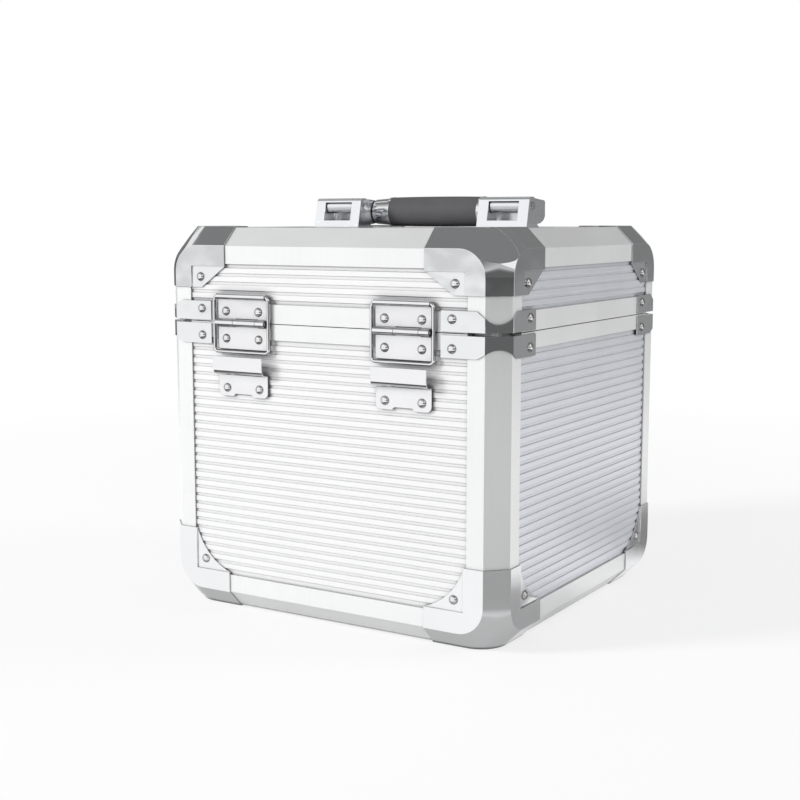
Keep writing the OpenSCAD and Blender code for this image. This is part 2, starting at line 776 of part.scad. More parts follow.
// Section of the pocket plate: riveted flange, rounded closed end and outer wall
module pocket_section() {
    outer = 5;
    inner = outer - pocket_t;
    x = pocket_out - outer;
    z = outer - pocket_end;
    polygon(concat(
        [[0, -pocket_foot], [pocket_t, -pocket_foot], [pocket_t, -pocket_end]],
        [for (a = [-90:15:0]) [x + outer * cos(a), z + outer * sin(a)]],
        [[pocket_out, -pocket_top], [pocket_out - pocket_t, -pocket_top]],
        [for (a = [0:-15:-90]) [x + inner * cos(a), z + inner * sin(a)]],
        [[0, pocket_t - pocket_end]]));
}

module stay_pockets() {
    notch = 19;
    round_r = 4;
    foot_z = -pocket_foot;
    color("silver") difference() {
        at_hinges() along_x(leaf_w) pocket_section();
        at_hinges() {
            rotate([90, 0, 0]) translate([0, 0, -5]) linear_extrude(10)
                polygon([[-notch / 2, foot_z - cut], [notch / 2, foot_z - cut],
                         [notch / 2 - 2, foot_z + 2], [2 - notch / 2, foot_z + 2]]);
            for (s = [-1, 1]) translate([s * leaf_w / 2, 0, foot_z])
                difference() {
                    translate([-round_r, -5, -round_r]) cube([2 * round_r, 10, 2 * round_r]);
                    translate([-s * round_r, 0, round_r]) rotate([90, 0, 0])
                        cylinder(r = round_r, h = 20, center = true);
                }
        }
        base_rivet_holes([BACK]);
    }
}

// Closed wire loop in the X-Z plane, with its upper run on the origin's axis
module wire_loop(half, length, r, bend) {
    pair(0) x_cylinder(r, 2 * (half - bend));
    translate([0, 0, -length]) x_cylinder(r, 2 * (half - bend));
    pair(half) translate([0, 0, bend - length]) cylinder(r = r, h = length - 2 * bend);
    for (s = [0, 1], up = [0, 1])
        mirror([s, 0, 0]) translate([half - bend, 0, up ? -bend : bend - length])
            mirror([0, 0, 1 - up]) rotate([90, 0, 0])
                rotate_extrude(angle = 90) translate([bend, 0]) circle(r = r, $fn = 24);
}

module stay(x) {
    color("gainsboro") on_side(BACK) translate([x, stay_out, z_split + stay_rise])
        wire_loop(stay_half, stay_len, stay_r, 3);
}

module stay_left() { stay(-hinge_x); }
module stay_right() { stay(hinge_x); }

// ---- Handle ----

module at_pivots() {
    translate([0, -pivot_y, z_top + pivot_h]) children();
}

module at_bracket_screws() {
    pair(bracket_mid) pair(bracket_w / 2 - cheek_t / 2)
        translate([0, (bracket_y - bracket_back) / 2, z_top - slot_end]) children();
}

module screw_hole() {
    translate([0, 0, -1]) cylinder(r = screw_r + hole_fit, h = slot_end - rib_depth + 1 + screw_bite + 0.2,
                                   $fn = 32);
}

// Side view of a bracket: faces that lean inwards, rounded top edges and a foot behind
module bracket_outline() {
    lean = [cos(bracket_lean), sin(bracket_lean)];
    mid_z = bracket_h - bracket_round;
    mids = [for (base = [bracket_y, bracket_back])
        base - (bracket_round + mid_z * lean[1]) / lean[0]];
    low = bracket_bottom - z_top;
    touch = [for (mid = mids) [mid + bracket_round * lean[0], mid_z + bracket_round * lean[1]]];
    polygon([[bracket_y, low], [bracket_y, 0], touch[0], [mids[0], bracket_h], [-mids[1], bracket_h],
             [-touch[1][0], touch[1][1]], [-bracket_back, 0], [-bracket_back, low]]);
    translate([mids[0], mid_z]) circle(r = bracket_round);
    translate([-mids[1], mid_z]) circle(r = bracket_round);
    polygon([[0, low], [-bracket_back - foot_len, low], [-bracket_back - foot_len, 0],
             [-bracket_back + 0.6, 0.8 * foot_len], [0, 0.8 * foot_len]]);
}

module handle_brackets() {
    window_w = bracket_w - 2 * cheek_t;
    color("gainsboro") difference() {
        pair(bracket_mid) difference() {
            translate([0, 0, z_top]) along_x(bracket_w) bracket_outline();
            // window through both faces, slot for the arm's lug and room for its barrel
            translate([0, 0, z_top + sill_h]) along_x(window_w)
                translate([-bracket_w, 0]) square([2 * bracket_w, bracket_h - lintel_t - sill_h]);
            translate([0, 0, z_top + sill_h]) along_x(window_w)
                translate([-bracket_w, 0]) square([bracket_w - pivot_y + lug_high + arm_gap, bracket_h]);
            at_pivots() x_cylinder(barrel_r + arm_gap, window_w);
        }
        at_pivots() x_cylinder(pivot_r + hole_fit, far);
        at_bracket_screws() screw_hole();
    }
}

module handle_pins() {
    head = 0.6;
    length = bracket_w + 0.4;
    color("silver") at_pivots() pair(bracket_mid) {
        x_cylinder(pivot_r, length + 2 * head);
        pair(length / 2 + head / 2) x_cylinder(pivot_r + 0.4, head);
    }
}

module bracket_screws() {
    head = 1.2;
    color("dimgray") at_bracket_screws() {
        translate([0, 0, -head]) cylinder(r = 1.9 * screw_r, h = head, $fn = 32);
        cylinder(r = screw_r, h = slot_end - rib_depth + screw_bite, $fn = 32);
    }
}

module at_grip() {
    translate([0, -grip_y, z_top + grip_h]) children();
}

module handle_bar() {
    color("silver") at_grip() x_cylinder(bar_r, 2 * bar_end);
}

// Side view of an arm's block, from the pivot: its top falls and its bottom rises towards the back
module block_outline() {
    y = pivot_y - grip_y;
    z = grip_h - pivot_h;
    polygon([[-arm_front, z + arm_half], [y - 0.8 * arm_back, z + 0.83 * arm_half],
             [y - arm_back, z + 0.7 * arm_half], [y - arm_back, z - 0.4 * arm_half],
             [y - 0.67 * arm_back, z - 0.68 * arm_half], [y, z - 0.9 * arm_half],
             [y + arm_back, z - arm_half], [-arm_front, z - arm_half]]);
}

module handle_arms() {
    lug_w = bracket_w - 2 * (cheek_t + arm_gap);
    color("gainsboro") difference() {
        at_pivots() {
            pair((arm_in + arm_out) / 2) along_x(arm_out - arm_in) block_outline();
            pair(bracket_mid) {
                x_cylinder(barrel_r, lug_w);
                along_x(lug_w) translate([-arm_front - 1, -lug_low]) square([arm_front + 1, lug_low + lug_high]);
            }
        }
        at_pivots() x_cylinder(pivot_r + pin_fit, far);
        at_grip() x_cylinder(bar_r + hole_fit, 2 * bar_end + 0.2);
    }
}

// Turns an outline of [radius, place] about the handle bar, with the bar's bore through it
module round_bar(profile) {
    rotate([0, 90, 0]) rotate_extrude($fn = 64)
        polygon(concat([[bar_r + hole_fit, profile[0][1]]], profile,
                       [[bar_r + hole_fit, profile[len(profile) - 1][1]]]));
}

module handle_ferrules() {
    lip = 2.5;
    length = arm_in - grip_half;
    color("silver") for (s = [0, 1]) mirror([s, 0, 0]) at_grip()
        translate([grip_half, 0, 0]) round_bar([
            [grip_end_r + 0.2, 0.1], [grip_end_r + 0.2, lip], [grip_end_r - 0.6, lip + 0.8],
            [ferrule_end_r, length - 1], [ferrule_end_r - 0.8, length - 0.1]]);
}

module handle_grip() {
    steps = 6;
    color("dimgray") at_grip() round_bar([for (k = [-steps:steps]) let (u = k / steps)
        [grip_end_r + (grip_r - grip_end_r) * (1 - u * u), u * grip_half]]);
}

// ---- Latches ----

module on_front(x) {
    on_side(FRONT) translate([x, 0, 0]) children();
}

module latch_plate() {
    translate([-latch_half, 0, z_split - plate_drop])
        cube([latch_w, latch_t, plate_drop - latch_edge]);
    pair(latch_half - latch_t / 2)
        translate([-latch_t / 2, 0, z_split - lever_pin_drop - ear_h / 2 - 0.5])
            cube([latch_t, lever_pin_out + ear_margin, ear_h]);
}

module latch_plates() {
    color("silver") difference() {
        on_side(FRONT) pair(latch_x) latch_plate();
        on_side(FRONT) translate([0, lever_pin_out, z_split - lever_pin_drop])
            x_cylinder(lever_pin_r + hole_fit, far);
        base_rivet_holes([FRONT]);
    }
}

module latch_pins() {
    color("dimgray") on_side(FRONT) translate([0, lever_pin_out, z_split - lever_pin_drop])
        pair(latch_x) x_cylinder(lever_pin_r, latch_w + 0.6);
}

// Turns children from the hooked place to the open rest place about the lever pin
module ajar() {
    translate([0, lever_pin_out, z_split - lever_pin_drop]) rotate([latch_ajar, 0, 0]) children();
}

module latch_lever(x) {
    plate = lever_plate;
    color("gainsboro") on_front(x) ajar() difference() {
        union() {
            translate([-lever_half, plate, -lever_len])
                cube([2 * lever_half, latch_t, lever_len + lever_heel]);
            pair(lever_half - latch_t / 2) translate([-latch_t / 2, 0, 0]) rotate([90, 0, 90])
                linear_extrude(latch_t) polygon([
                    [-lever_pin_r - 0.7, lever_heel], [-crank_in - bail_r - 0.7, -crank_drop],
                    [-crank_in, -crank_drop - bail_r - 1.1],
                    [plate + cut, lever_toe - lever_len], [plate + cut, lever_heel]]);
        }
        x_cylinder(lever_pin_r + pin_fit, far);
        translate([0, -crank_in, -crank_drop]) x_cylinder(bail_r + pin_fit, far);
    }
}

module latch_lever_left() { latch_lever(latch_x); }
module latch_lever_right() { latch_lever(-latch_x); }

// Bail wire: stub ends in the lever's sides, two upright runs and the hooking top run
module latch_bail(x) {
    stub = bail_half - lever_half + latch_t + 0.6;
    height = hook_z - crank_z;
    bend = 3;
    color("gainsboro") on_front(x)
        translate([0, lever_pin_out + crank[0], z_split - lever_pin_drop + crank[1]]) {
        translate([0, 0, height]) x_cylinder(bail_r, 2 * (bail_half - bend));
        pair(bail_half) cylinder(r = bail_r, h = height - bend);
        for (s = [0, 1]) mirror([s, 0, 0]) {
            translate([bail_half - bend, 0, height - bend]) rotate([90, 0, 0])
                rotate_extrude(angle = 90) translate([bend, 0]) circle(r = bail_r, $fn = 24);
            translate([bail_half - stub / 2, 0, 0]) x_cylinder(bail_r, stub);
            translate([bail_half, 0, 0]) sphere(r = bail_r, $fn = 24);
        }
    }
}

module latch_bail_left() { latch_bail(latch_x); }
module latch_bail_right() { latch_bail(-latch_x); }

module latch_keepers() {
    half = latch_half - 2;
    ledge_w = 2 * half - 4;
    color("silver") difference() {
        on_side(FRONT) pair(latch_x) translate([0, 0, z_split]) {
            translate([-half, 0, latch_edge]) cube([2 * half, latch_t, keeper_h]);
            translate([-ledge_w / 2, 0, ledge_h - latch_t]) cube([ledge_w, ledge_out, latch_t]);
        }
        lid_rivet_holes([FRONT]);
    }
}

base_back_panel();
base_front_panel();
base_left_panel();
base_right_panel();
base_bottom_panel();
base_boards();
base_posts();
base_rails();
base_rim();
base_tongue();
base_corner_caps();
base_corner_brackets();
base_rivets();
base_lining();
hinge_lower_leaves();
hinge_pins();
stay_pockets();
latch_plates();
latch_pins();
lid_back_panel();
lid_front_panel();
lid_left_panel();
lid_right_panel();
lid_top_panel();
lid_boards();
lid_posts();
lid_rails();
lid_rim();
lid_corner_caps();
lid_corner_brackets();
lid_rivets();
lid_lining();
hinge_upper_leaves();
latch_keepers();
handle_brackets();
handle_pins();
bracket_screws();
stay_left();
stay_right();
handle_bar();
handle_arms();
handle_ferrules();
handle_grip();
latch_lever_left();
latch_lever_right();
latch_bail_left();
latch_bail_right();
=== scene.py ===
# %% [markdown]
# # An aluminium art supply case
# The case is a box of ribbed aluminium panels, held by bevelled aluminium profiles and closed at
# each corner by a pressed steel cap. A shallow lid turns on two stay hinges and carries a folding
# handle. The solid parts come ready-made from the frame, at their real size. This script gives
# them their rounded edges, their finishes, a camera and a small studio.

# %% Load the frame
import math
import bmesh
import bpy
import numpy as np
from mathutils import Matrix, Vector


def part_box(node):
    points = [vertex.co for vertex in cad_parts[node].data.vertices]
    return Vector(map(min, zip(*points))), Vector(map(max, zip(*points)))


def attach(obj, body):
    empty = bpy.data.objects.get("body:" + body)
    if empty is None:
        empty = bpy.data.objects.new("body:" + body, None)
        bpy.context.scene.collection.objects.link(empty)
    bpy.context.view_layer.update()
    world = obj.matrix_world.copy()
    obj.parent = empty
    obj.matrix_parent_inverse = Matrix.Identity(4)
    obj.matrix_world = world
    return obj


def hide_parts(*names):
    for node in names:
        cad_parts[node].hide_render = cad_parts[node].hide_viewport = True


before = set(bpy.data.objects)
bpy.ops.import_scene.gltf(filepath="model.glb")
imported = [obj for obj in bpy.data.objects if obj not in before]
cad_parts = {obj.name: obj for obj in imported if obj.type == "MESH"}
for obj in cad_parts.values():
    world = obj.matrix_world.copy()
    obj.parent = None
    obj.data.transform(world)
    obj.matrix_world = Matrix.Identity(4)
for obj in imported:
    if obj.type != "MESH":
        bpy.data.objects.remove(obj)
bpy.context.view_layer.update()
MM = 0.001
scene = bpy.context.scene

# %% [markdown]
# ## The sizes that everything follows
# Each size below is read from the frame, so that a piece made here fits the part it dresses.
# They could be typed in, but then a change to the solids would leave the dressing behind. A node's
# box gives that node, and the boxes of the posts, rails and rim together give the whole case.

# %% Sizes from the frame
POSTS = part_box("base_posts")
HALF_W = POSTS[1].x
HALF_D = POSTS[1].y
RAILS_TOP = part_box("lid_rails")[1].z
RAILS_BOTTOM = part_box("base_rails")[0].z
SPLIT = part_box("base_rim")[1].z
CASE_MIDDLE = Vector((0, 0, (RAILS_TOP + RAILS_BOTTOM) / 2))
CASE_SIZE = (2 * HALF_W, 2 * HALF_D, RAILS_TOP - RAILS_BOTTOM)
print("case mm", [round(length / MM, 1) for length in CASE_SIZE])

# %% [markdown]
# ## Camera
# The camera stands level with the top of the case, and sees its hinge side and its left side. It
# could track a target with a constraint, but plain numbers give the same view on every run: its
# place in metres, and its two turns in degrees. A lens of 60 mm keeps the perspective gentle.

# %% Camera
CAMERA_PLACE = Vector((-0.5649, 0.9528, 0.3072))
CAMERA_YAW = math.radians(180 + 31.56)
CAMERA_PITCH = math.radians(90 - 7.69)
CAMERA_LENS = 60.2
SENSOR_WIDTH = 36
lens = bpy.data.cameras.new("camera")
lens.lens = CAMERA_LENS
lens.sensor_width = SENSOR_WIDTH
camera = bpy.data.objects.new("camera", lens)
camera.location = CAMERA_PLACE
camera.rotation_euler = (CAMERA_PITCH, 0, CAMERA_YAW)
scene.collection.objects.link(camera)
scene.camera = camera
forward = camera.rotation_euler.to_matrix() @ Vector((0, 0, -1))
print("camera looks along", [round(value, 3) for value in forward])

# %% [markdown]
# ## Helpers for node trees
# A material is a small graph of nodes, and so is a geometry tree. Both could be drawn by hand in
# the editor. Written out, they need one helper that adds and wires a node, and a few short words
# for sums, so that each tree below reads as a list of steps.

# %% Node helpers
def feed(tree, node, **inputs):
    """Sets or links a node's inputs by name, or by number as in0, in1 and so on."""
    for key, value in inputs.items():
        name = key.replace("_", " ")
        place = int(name[2:]) if name.startswith("in") and name[2:].isdigit() else name
        if isinstance(value, bpy.types.NodeSocket):
            tree.links.new(value, node.inputs[place])
        else:
            node.inputs[place].default_value = value


def add(tree, kind, settings=None, **inputs):
    """Adds a node, sets its properties and feeds its inputs."""
    node = tree.nodes.new(kind)
    for key, value in (settings or {}).items():
        setattr(node, key, value)
    feed(tree, node, **inputs)
    return node


def math_node(tree, operation, first, second=0.0):
    return add(tree, "ShaderNodeMath", {"operation": operation}, in0=first, in1=second).outputs[0]


def plus(tree, first, second):
    return math_node(tree, "ADD", first, second)


def minus(tree, first, second):
    return math_node(tree, "SUBTRACT", first, second)


def times(tree, first, second):
    return math_node(tree, "MULTIPLY", first, second)


def size_of(tree, value):
    return math_node(tree, "ABSOLUTE", value)


def over(tree, value, limit):
    """1 where the value is over the limit, and 0 elsewhere."""
    return math_node(tree, "GREATER_THAN", value, limit)


def under(tree, value, limit):
    return math_node(tree, "LESS_THAN", value, limit)


def lower_of(tree, first, second):
    return math_node(tree, "MINIMUM", first, second)


def higher_of(tree, first, second):
    return math_node(tree, "MAXIMUM", first, second)


def axes_of(tree, vector):
    return add(tree, "ShaderNodeSeparateXYZ", in0=vector).outputs


print("node helpers ready")

# %% [markdown]
# ## Helpers for finishes
# Each finish is made of the same few steps: a point on the piece, a noise at that point, a blend
# of two colours, a range for the roughness, and a bump for the relief. A pattern could also come
# from a picture laid on a UV map. Noise on Object coordinates needs neither, and it sits still on
# the piece while the piece moves.

# %% Finish helpers
def new_material(name):
    material = bpy.data.materials.new(name)
    material.use_nodes = True
    tree = material.node_tree
    shader = tree.nodes["Principled BSDF"]
    return material, tree, shader


def object_point(tree, stretch=(1, 1, 1)):
    """The point on the piece in metres, scaled along each axis by stretch."""
    point = add(tree, "ShaderNodeTexCoord").outputs["Object"]
    return add(tree, "ShaderNodeMapping", Vector=point, Scale=stretch).outputs[0]


def noise(tree, point, scale, detail=3.0, roughness=0.55):
    return add(tree, "ShaderNodeTexNoise", Vector=point, Scale=scale, Detail=detail,
               Roughness=roughness).outputs["Fac"]


def spread(tree, value, low, high, span=(0.3, 0.7)):
    """Maps a value onto low to high while it crosses the span, and holds it beyond."""
    return add(tree, "ShaderNodeMapRange", in0=value, in1=span[0], in2=span[1], in3=low,
               in4=high).outputs[0]


def tint(tree, share, first, second):
    """Blends from the first colour to the second. Either may be another node's output."""
    ends = [end if isinstance(end, bpy.types.NodeSocket) else (*end, 1) for end in (first, second)]
    return add(tree, "ShaderNodeMix", {"data_type": "RGBA"}, in0=share, in6=ends[0],
               in7=ends[1]).outputs[2]


def relief(tree, height, strength, distance, normal=None):
    node = add(tree, "ShaderNodeBump", Height=height, Strength=strength, Distance=distance)
    if normal is not None:
        feed(tree, node, Normal=normal)
    return node.outputs[0]


print("finish helpers ready")

# %% [markdown]
# ## Metals
# Every metal here is one recipe with other numbers: a base colour that drifts a little, a
# roughness that drifts with it, fine streaks from rolling or polishing, and the soft waviness that
# pressed sheet always has. A single flat colour would do from afar, but close up real metal is
# never that even. Anodised aluminium scatters light in its clear oxide, so it is not fully
# metallic. Plated steel is.
#
# Two touches make the small parts read, and both are painted light. An Ambient Occlusion node
# paints shade into the colour in crevices and beside parts that stand out, as painted contact
# shadow. A Layer Weight node paints a dark reflection into the colour of polished wires, domes
# and thin edges where they turn away, as if they mirrored the dark far side of a room.

# %% Metal recipe
CLOUD_SCALE = 22.0
STREAK_SCALE = 900.0
WAVE_SCALE = 45.0
GRAIN_SCALE = 2600.0
CLOUD_SHARE = 0.6
WAVE_DEPTH = 1.0 * MM
STREAK_DEPTH = 0.05 * MM
GRAIN_DEPTH = 0.04 * MM
# Painted shade: mixed into a metal's colour where occlusion is high, as contact shadow.
PAINTED_SHADE_COLOUR = (0.10, 0.10, 0.11)
PAINTED_SHADE_SAMPLES = 4
PAINTED_SHADE_SHARE = 0.85
PAINTED_SHADE_REACH = 3.0 * MM
PAINTED_SHADE_SPAN = (0.35, 0.8)
# Painted reflection: this colour darkens polished metal where it turns away from the eye.
PAINTED_RIM_COLOUR = (0.06, 0.06, 0.07)
PAINTED_RIM_SPAN = (0.62, 0.95)
PAINTED_ROUND_SPAN = (0.22, 0.74)


def with_painted_shade(tree, colour, strength, reach, span):
    """Paints shade into a colour in crevices and beside parts that stand out, as contact shadow."""
    occlusion = add(tree, "ShaderNodeAmbientOcclusion", {"samples": PAINTED_SHADE_SAMPLES}, Distance=reach)
    share = spread(tree, occlusion.outputs["AO"], strength, 0.0, span)
    return tint(tree, share, colour, PAINTED_SHADE_COLOUR)


def with_painted_rim_reflection(tree, colour, strength, span):
    """Paints a dark reflection into polished metal's colour where it turns away from the eye."""
    away = add(tree, "ShaderNodeLayerWeight", Blend=0.5).outputs["Facing"]
    return tint(tree, spread(tree, away, 0.0, strength, span), colour, PAINTED_RIM_COLOUR)


def metal(name, dark, light, rough, metallic=1.0, stretch=(1, 1, 1), streak=0.0, wave=0.0,
          grain=0.0, shade_reach=PAINTED_SHADE_REACH, shade_span=PAINTED_SHADE_SPAN, rim=0.0, painted_rim_span=PAINTED_RIM_SPAN):
    material, tree, shader = new_material(name)
    cloud = noise(tree, object_point(tree), CLOUD_SCALE)
    fine = noise(tree, object_point(tree, stretch), STREAK_SCALE, detail=2.0)
    mixed = plus(tree, times(tree, cloud, CLOUD_SHARE), times(tree, fine, 1 - CLOUD_SHARE))
    colour = tint(tree, spread(tree, mixed, 0.0, 1.0), dark, light)
    # Painted light: a dark reflection at the rims, then shade in crevices and beside raised parts.
    if rim:
        colour = with_painted_rim_reflection(tree, colour, rim, painted_rim_span)
    colour = with_painted_shade(tree, colour, PAINTED_SHADE_SHARE, shade_reach, shade_span)
    feed(tree, shader, Base_Color=colour, Roughness=spread(tree, mixed, *rough), Metallic=metallic)
    normal = None
    if wave:
        soft = noise(tree, object_point(tree), WAVE_SCALE, detail=1.0)
        normal = relief(tree, soft, wave, WAVE_DEPTH)
    if streak:
        normal = relief(tree, fine, streak, STREAK_DEPTH, normal)
    if grain:
        grit = noise(tree, object_point(tree), GRAIN_SCALE, detail=2.0)
        normal = relief(tree, grit, grain, GRAIN_DEPTH, normal)
    if normal is not None:
        feed(tree, shader, Normal=normal)
    return material


print("metal recipe ready")

# %% [markdown]
# ## The metals of this case
# The skins and profiles are anodised aluminium. The skins of the two narrow sides get a darker,
# bluer copy of it, which is painted shade for those sides. The lid's caps and the split brackets
# are chromed, and the base's caps are brushed. The hinges and latches are bright nickel, their
# wires and the rivets are polished chrome, and the handle is die cast. Each could have a graph of
# its own, but one line that calls the recipe is easier to compare with the next: the darkest and
# lightest colour, the smoothest and roughest finish, and then what the metal has more of. A
# pattern that is stretched along an axis becomes streaks along it.

# %% The metals
ALONG_X = (0.02, 1, 1)
ALONG_Y = (1, 0.02, 1)
ALONG_Z = (1, 1, 0.02)
# Each line's reach and rim set its painted contact shadow and its painted dark reflection.
ribbed_alloy_x = metal("ribbed_alloy_along_x", (0.93, 0.93, 0.935), (0.97, 0.97, 0.975),
                       (0.34, 0.44), metallic=0.44, stretch=ALONG_X, streak=0.35, grain=0.1,
                       shade_reach=9 * MM, shade_span=(0.35, 0.88))
# The narrow sides' copy of the aluminium is darker and bluer: painted shade.
ribbed_alloy_y_painted_shade = metal("ribbed_alloy_along_y", (0.81, 0.83, 0.88), (0.86, 0.88, 0.93),
                       (0.34, 0.44), metallic=0.6, stretch=ALONG_Y, streak=0.35, grain=0.1,
                       shade_reach=7 * MM)
frame_alloy = metal("frame_alloy_satin", (0.90, 0.905, 0.905), (0.95, 0.955, 0.955),
                    (0.36, 0.44), metallic=0.5, stretch=ALONG_Z, streak=0.25, grain=0.15)
plain_alloy = metal("plain_alloy_sheet", (0.72, 0.73, 0.74), (0.80, 0.81, 0.82), (0.38, 0.5),
                    metallic=0.6, stretch=ALONG_X, streak=0.3)
cap_chrome = metal("cap_chrome", (0.82, 0.84, 0.85), (0.87, 0.88, 0.89), (0.05, 0.10),
                   wave=0.35, rim=0.3)
cap_satin = metal("cap_satin_steel", (0.93, 0.935, 0.945), (0.96, 0.965, 0.975), (0.16, 0.24),
                  streak=0.1, wave=0.25)
nickel = metal("hinge_nickel", (0.88, 0.88, 0.895), (0.95, 0.95, 0.965), (0.10, 0.2),
               wave=0.25, rim=0.85, shade_reach=7 * MM)
wire_chrome = metal("wire_chrome", (0.84, 0.84, 0.85), (0.92, 0.92, 0.93), (0.06, 0.12),
                    rim=0.95, shade_reach=7 * MM, painted_rim_span=PAINTED_ROUND_SPAN)
rivet_chrome = metal("rivet_chrome", (0.84, 0.83, 0.84), (0.92, 0.91, 0.92), (0.06, 0.12),
                     rim=0.9, painted_rim_span=PAINTED_ROUND_SPAN)
pin_steel = metal("pin_steel", (0.34, 0.34, 0.36), (0.44, 0.44, 0.46), (0.22, 0.34))
handle_cast = metal("handle_cast", (0.84, 0.86, 0.88), (0.90, 0.92, 0.94), (0.16, 0.24),
                    metallic=0.95, wave=0.02)
handle_chrome = metal("handle_chrome", (0.80, 0.81, 0.82), (0.87, 0.88, 0.89), (0.06, 0.12),
                      wave=0.02)
print("materials so far", len(bpy.data.materials))

# %% [markdown]
# ## Grip, lining and board
# The grip is a moulded rubber tube with a very fine grain. The lining is pressed felt, whose
# fibres catch light at a low angle. Hair strands could show them, but they would cost far more
# than the shader's sheen, which does the same at this distance. The board behind each skin is
# brown pressed fibre, dull and slightly uneven.

# %% Soft and wooden finishes
RUBBER_DARK = (0.082, 0.080, 0.086)
RUBBER_LIGHT = (0.122, 0.120, 0.128)
RUBBER_ROUGH = (0.42, 0.58)


def grip_rubber_finish():
    material, tree, shader = new_material("grip_rubber")
    cloud = noise(tree, object_point(tree), scale=60.0)
    grain = noise(tree, object_point(tree), scale=1800.0, detail=2.0)
    feed(tree, shader, Base_Color=tint(tree, cloud, RUBBER_DARK, RUBBER_LIGHT),
         Roughness=spread(tree, grain, *RUBBER_ROUGH),
         Normal=relief(tree, grain, strength=0.35, distance=0.1 * MM))
    return material


def fibrous(name, fibre_scale, tone_scale, dark, light, strength, distance, **finish):
    """A dull finish of short fibres. Its colour follows the fibres or a slower cloud."""
    material, tree, shader = new_material(name)
    fibre = noise(tree, object_point(tree), fibre_scale, detail=4.0, roughness=0.7)
    tone = noise(tree, object_point(tree), tone_scale) if tone_scale else fibre
    feed(tree, shader, Base_Color=tint(tree, tone, dark, light),
         Normal=relief(tree, fibre, strength, distance), **finish)
    return material


grip_rubber = grip_rubber_finish()
felt = fibrous("lining_felt", fibre_scale=1400.0, tone_scale=30.0,
               dark=(0.020, 0.020, 0.022), light=(0.045, 0.045, 0.050), strength=0.8,
               distance=0.6 * MM, Roughness=0.95, Sheen_Weight=0.4, Sheen_Roughness=0.5)
board = fibrous("fibre_board", fibre_scale=700.0, tone_scale=None, dark=(0.13, 0.10, 0.075),
                light=(0.20, 0.16, 0.125), strength=0.5, distance=0.3 * MM, Roughness=0.85)
print("soft finishes", grip_rubber.name, felt.name, board.name)

# %% [markdown]
# ## Which node gets which finish
# On the real case each part is plated or anodised before it is riveted on, so one part has one
# finish. Materials could be picked by hand, node by node, but a table shows the whole paint shop
# at once. The nodes whose shape is already right keep their own mesh, and only their material
# changes.

# %% Finishes for the frame's nodes
FINISH_GROUPS = [
    (ribbed_alloy_x, ("base_back_panel", "base_front_panel", "lid_back_panel",
                      "lid_front_panel", "lid_top_panel")),
    (ribbed_alloy_y_painted_shade, ("base_left_panel", "base_right_panel", "lid_left_panel",
                      "lid_right_panel")),
    (plain_alloy, ("base_bottom_panel",)),
    (board, ("base_boards", "lid_boards")),
    (frame_alloy, ("base_posts", "lid_posts", "base_rails", "lid_rails", "base_rim", "lid_rim",
                   "base_tongue")),
    (cap_satin, ("base_corner_caps",)),
    (cap_chrome, ("lid_corner_caps", "base_corner_brackets", "lid_corner_brackets")),
    (rivet_chrome, ("base_rivets", "lid_rivets")),
    (felt, ("base_lining", "lid_lining")),
    (pin_steel, ("hinge_pins", "latch_pins", "bracket_screws")),
    (nickel, ("hinge_lower_leaves", "hinge_upper_leaves", "stay_pockets", "latch_plates",
              "latch_keepers", "latch_lever_left", "latch_lever_right")),
    (wire_chrome, ("stay_left", "stay_right", "latch_bail_left", "latch_bail_right")),
    (handle_cast, ("handle_brackets", "handle_arms")),
    (handle_chrome, ("handle_bar", "handle_ferrules", "handle_pins")),
    (grip_rubber, ("handle_grip",)),
]
finish_of = {name: finish for finish, names in FINISH_GROUPS for name in names}
for name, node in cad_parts.items():
    node.data.materials.clear()
    node.data.materials.append(finish_of[name])
print("nodes with a finish", len(finish_of), "of", len(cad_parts))

# %% [markdown]
# ## Rounded edges
# A pressed or cast part has no knife edge: the steel bends round a small radius, and that radius
# catches the light as a thin bright line. The frame's solids have the right shape but sharp
# edges. A Bevel node in the material could fake the line, but only in a close view and never in
# the mesh, so the edges are really rounded. The helper copies a node, merges its loose triangles
# and joins the flat ones, and then a Bevel modifier rounds its edges.
#
# The angle at an edge decides its radius. Bends of the sheet get the larger one. Cut rims, which
# turn by nearly a right angle, get the smaller one, and so do the faint creases of a drawn
# profile. Hollow edges stay, so that no piece grows into its neighbour. Weighted normals then
# keep the flats truly flat.

# %% Mesh helpers
WELD_GAP = 0.002 * MM
FLAT_ANGLE = math.radians(0.3)


def new_piece(name, mesh):
    piece = bpy.data.objects.new(name, mesh)
    scene.collection.objects.link(piece)
    return piece


def mesh_from(build, name):
    """Writes a bmesh into a new mesh and frees it."""
    mesh = bpy.data.meshes.new(name)
    build.to_mesh(mesh)
    build.free()
    return mesh


def simplify(build, gap, angle):
    """Merges points closer than the gap, and joins faces that are flat within the angle."""
    bmesh.ops.remove_doubles(build, verts=build.verts, dist=gap)
    bmesh.ops.dissolve_limit(build, angle_limit=angle, verts=build.verts, edges=build.edges)


def welded_copy(name, node_names):
    """One mesh made from copies of the nodes, with loose triangles merged and flats joined."""
    build = bmesh.new()
    for node_name in node_names:
        build.from_mesh(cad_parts[node_name].data)
    simplify(build, WELD_GAP, FLAT_ANGLE)
    return mesh_from(build, name)


def baked(piece):
    """Turns a piece's modifiers into its plain mesh."""
    bpy.context.view_layer.update()
    graph = bpy.context.evaluated_depsgraph_get()
    mesh = bpy.data.meshes.new_from_object(piece.evaluated_get(graph))
    piece.modifiers.clear()
    piece.data = mesh
    mesh.name = piece.name
    return piece


def hand_over(piece, body, node_names):
    """Puts a piece on the body that carries it, and hides the nodes it stands for."""
    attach(piece, body)
    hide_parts(*node_names)
    print(piece.name, "faces", len(piece.data.polygons))


print("mesh helpers ready")

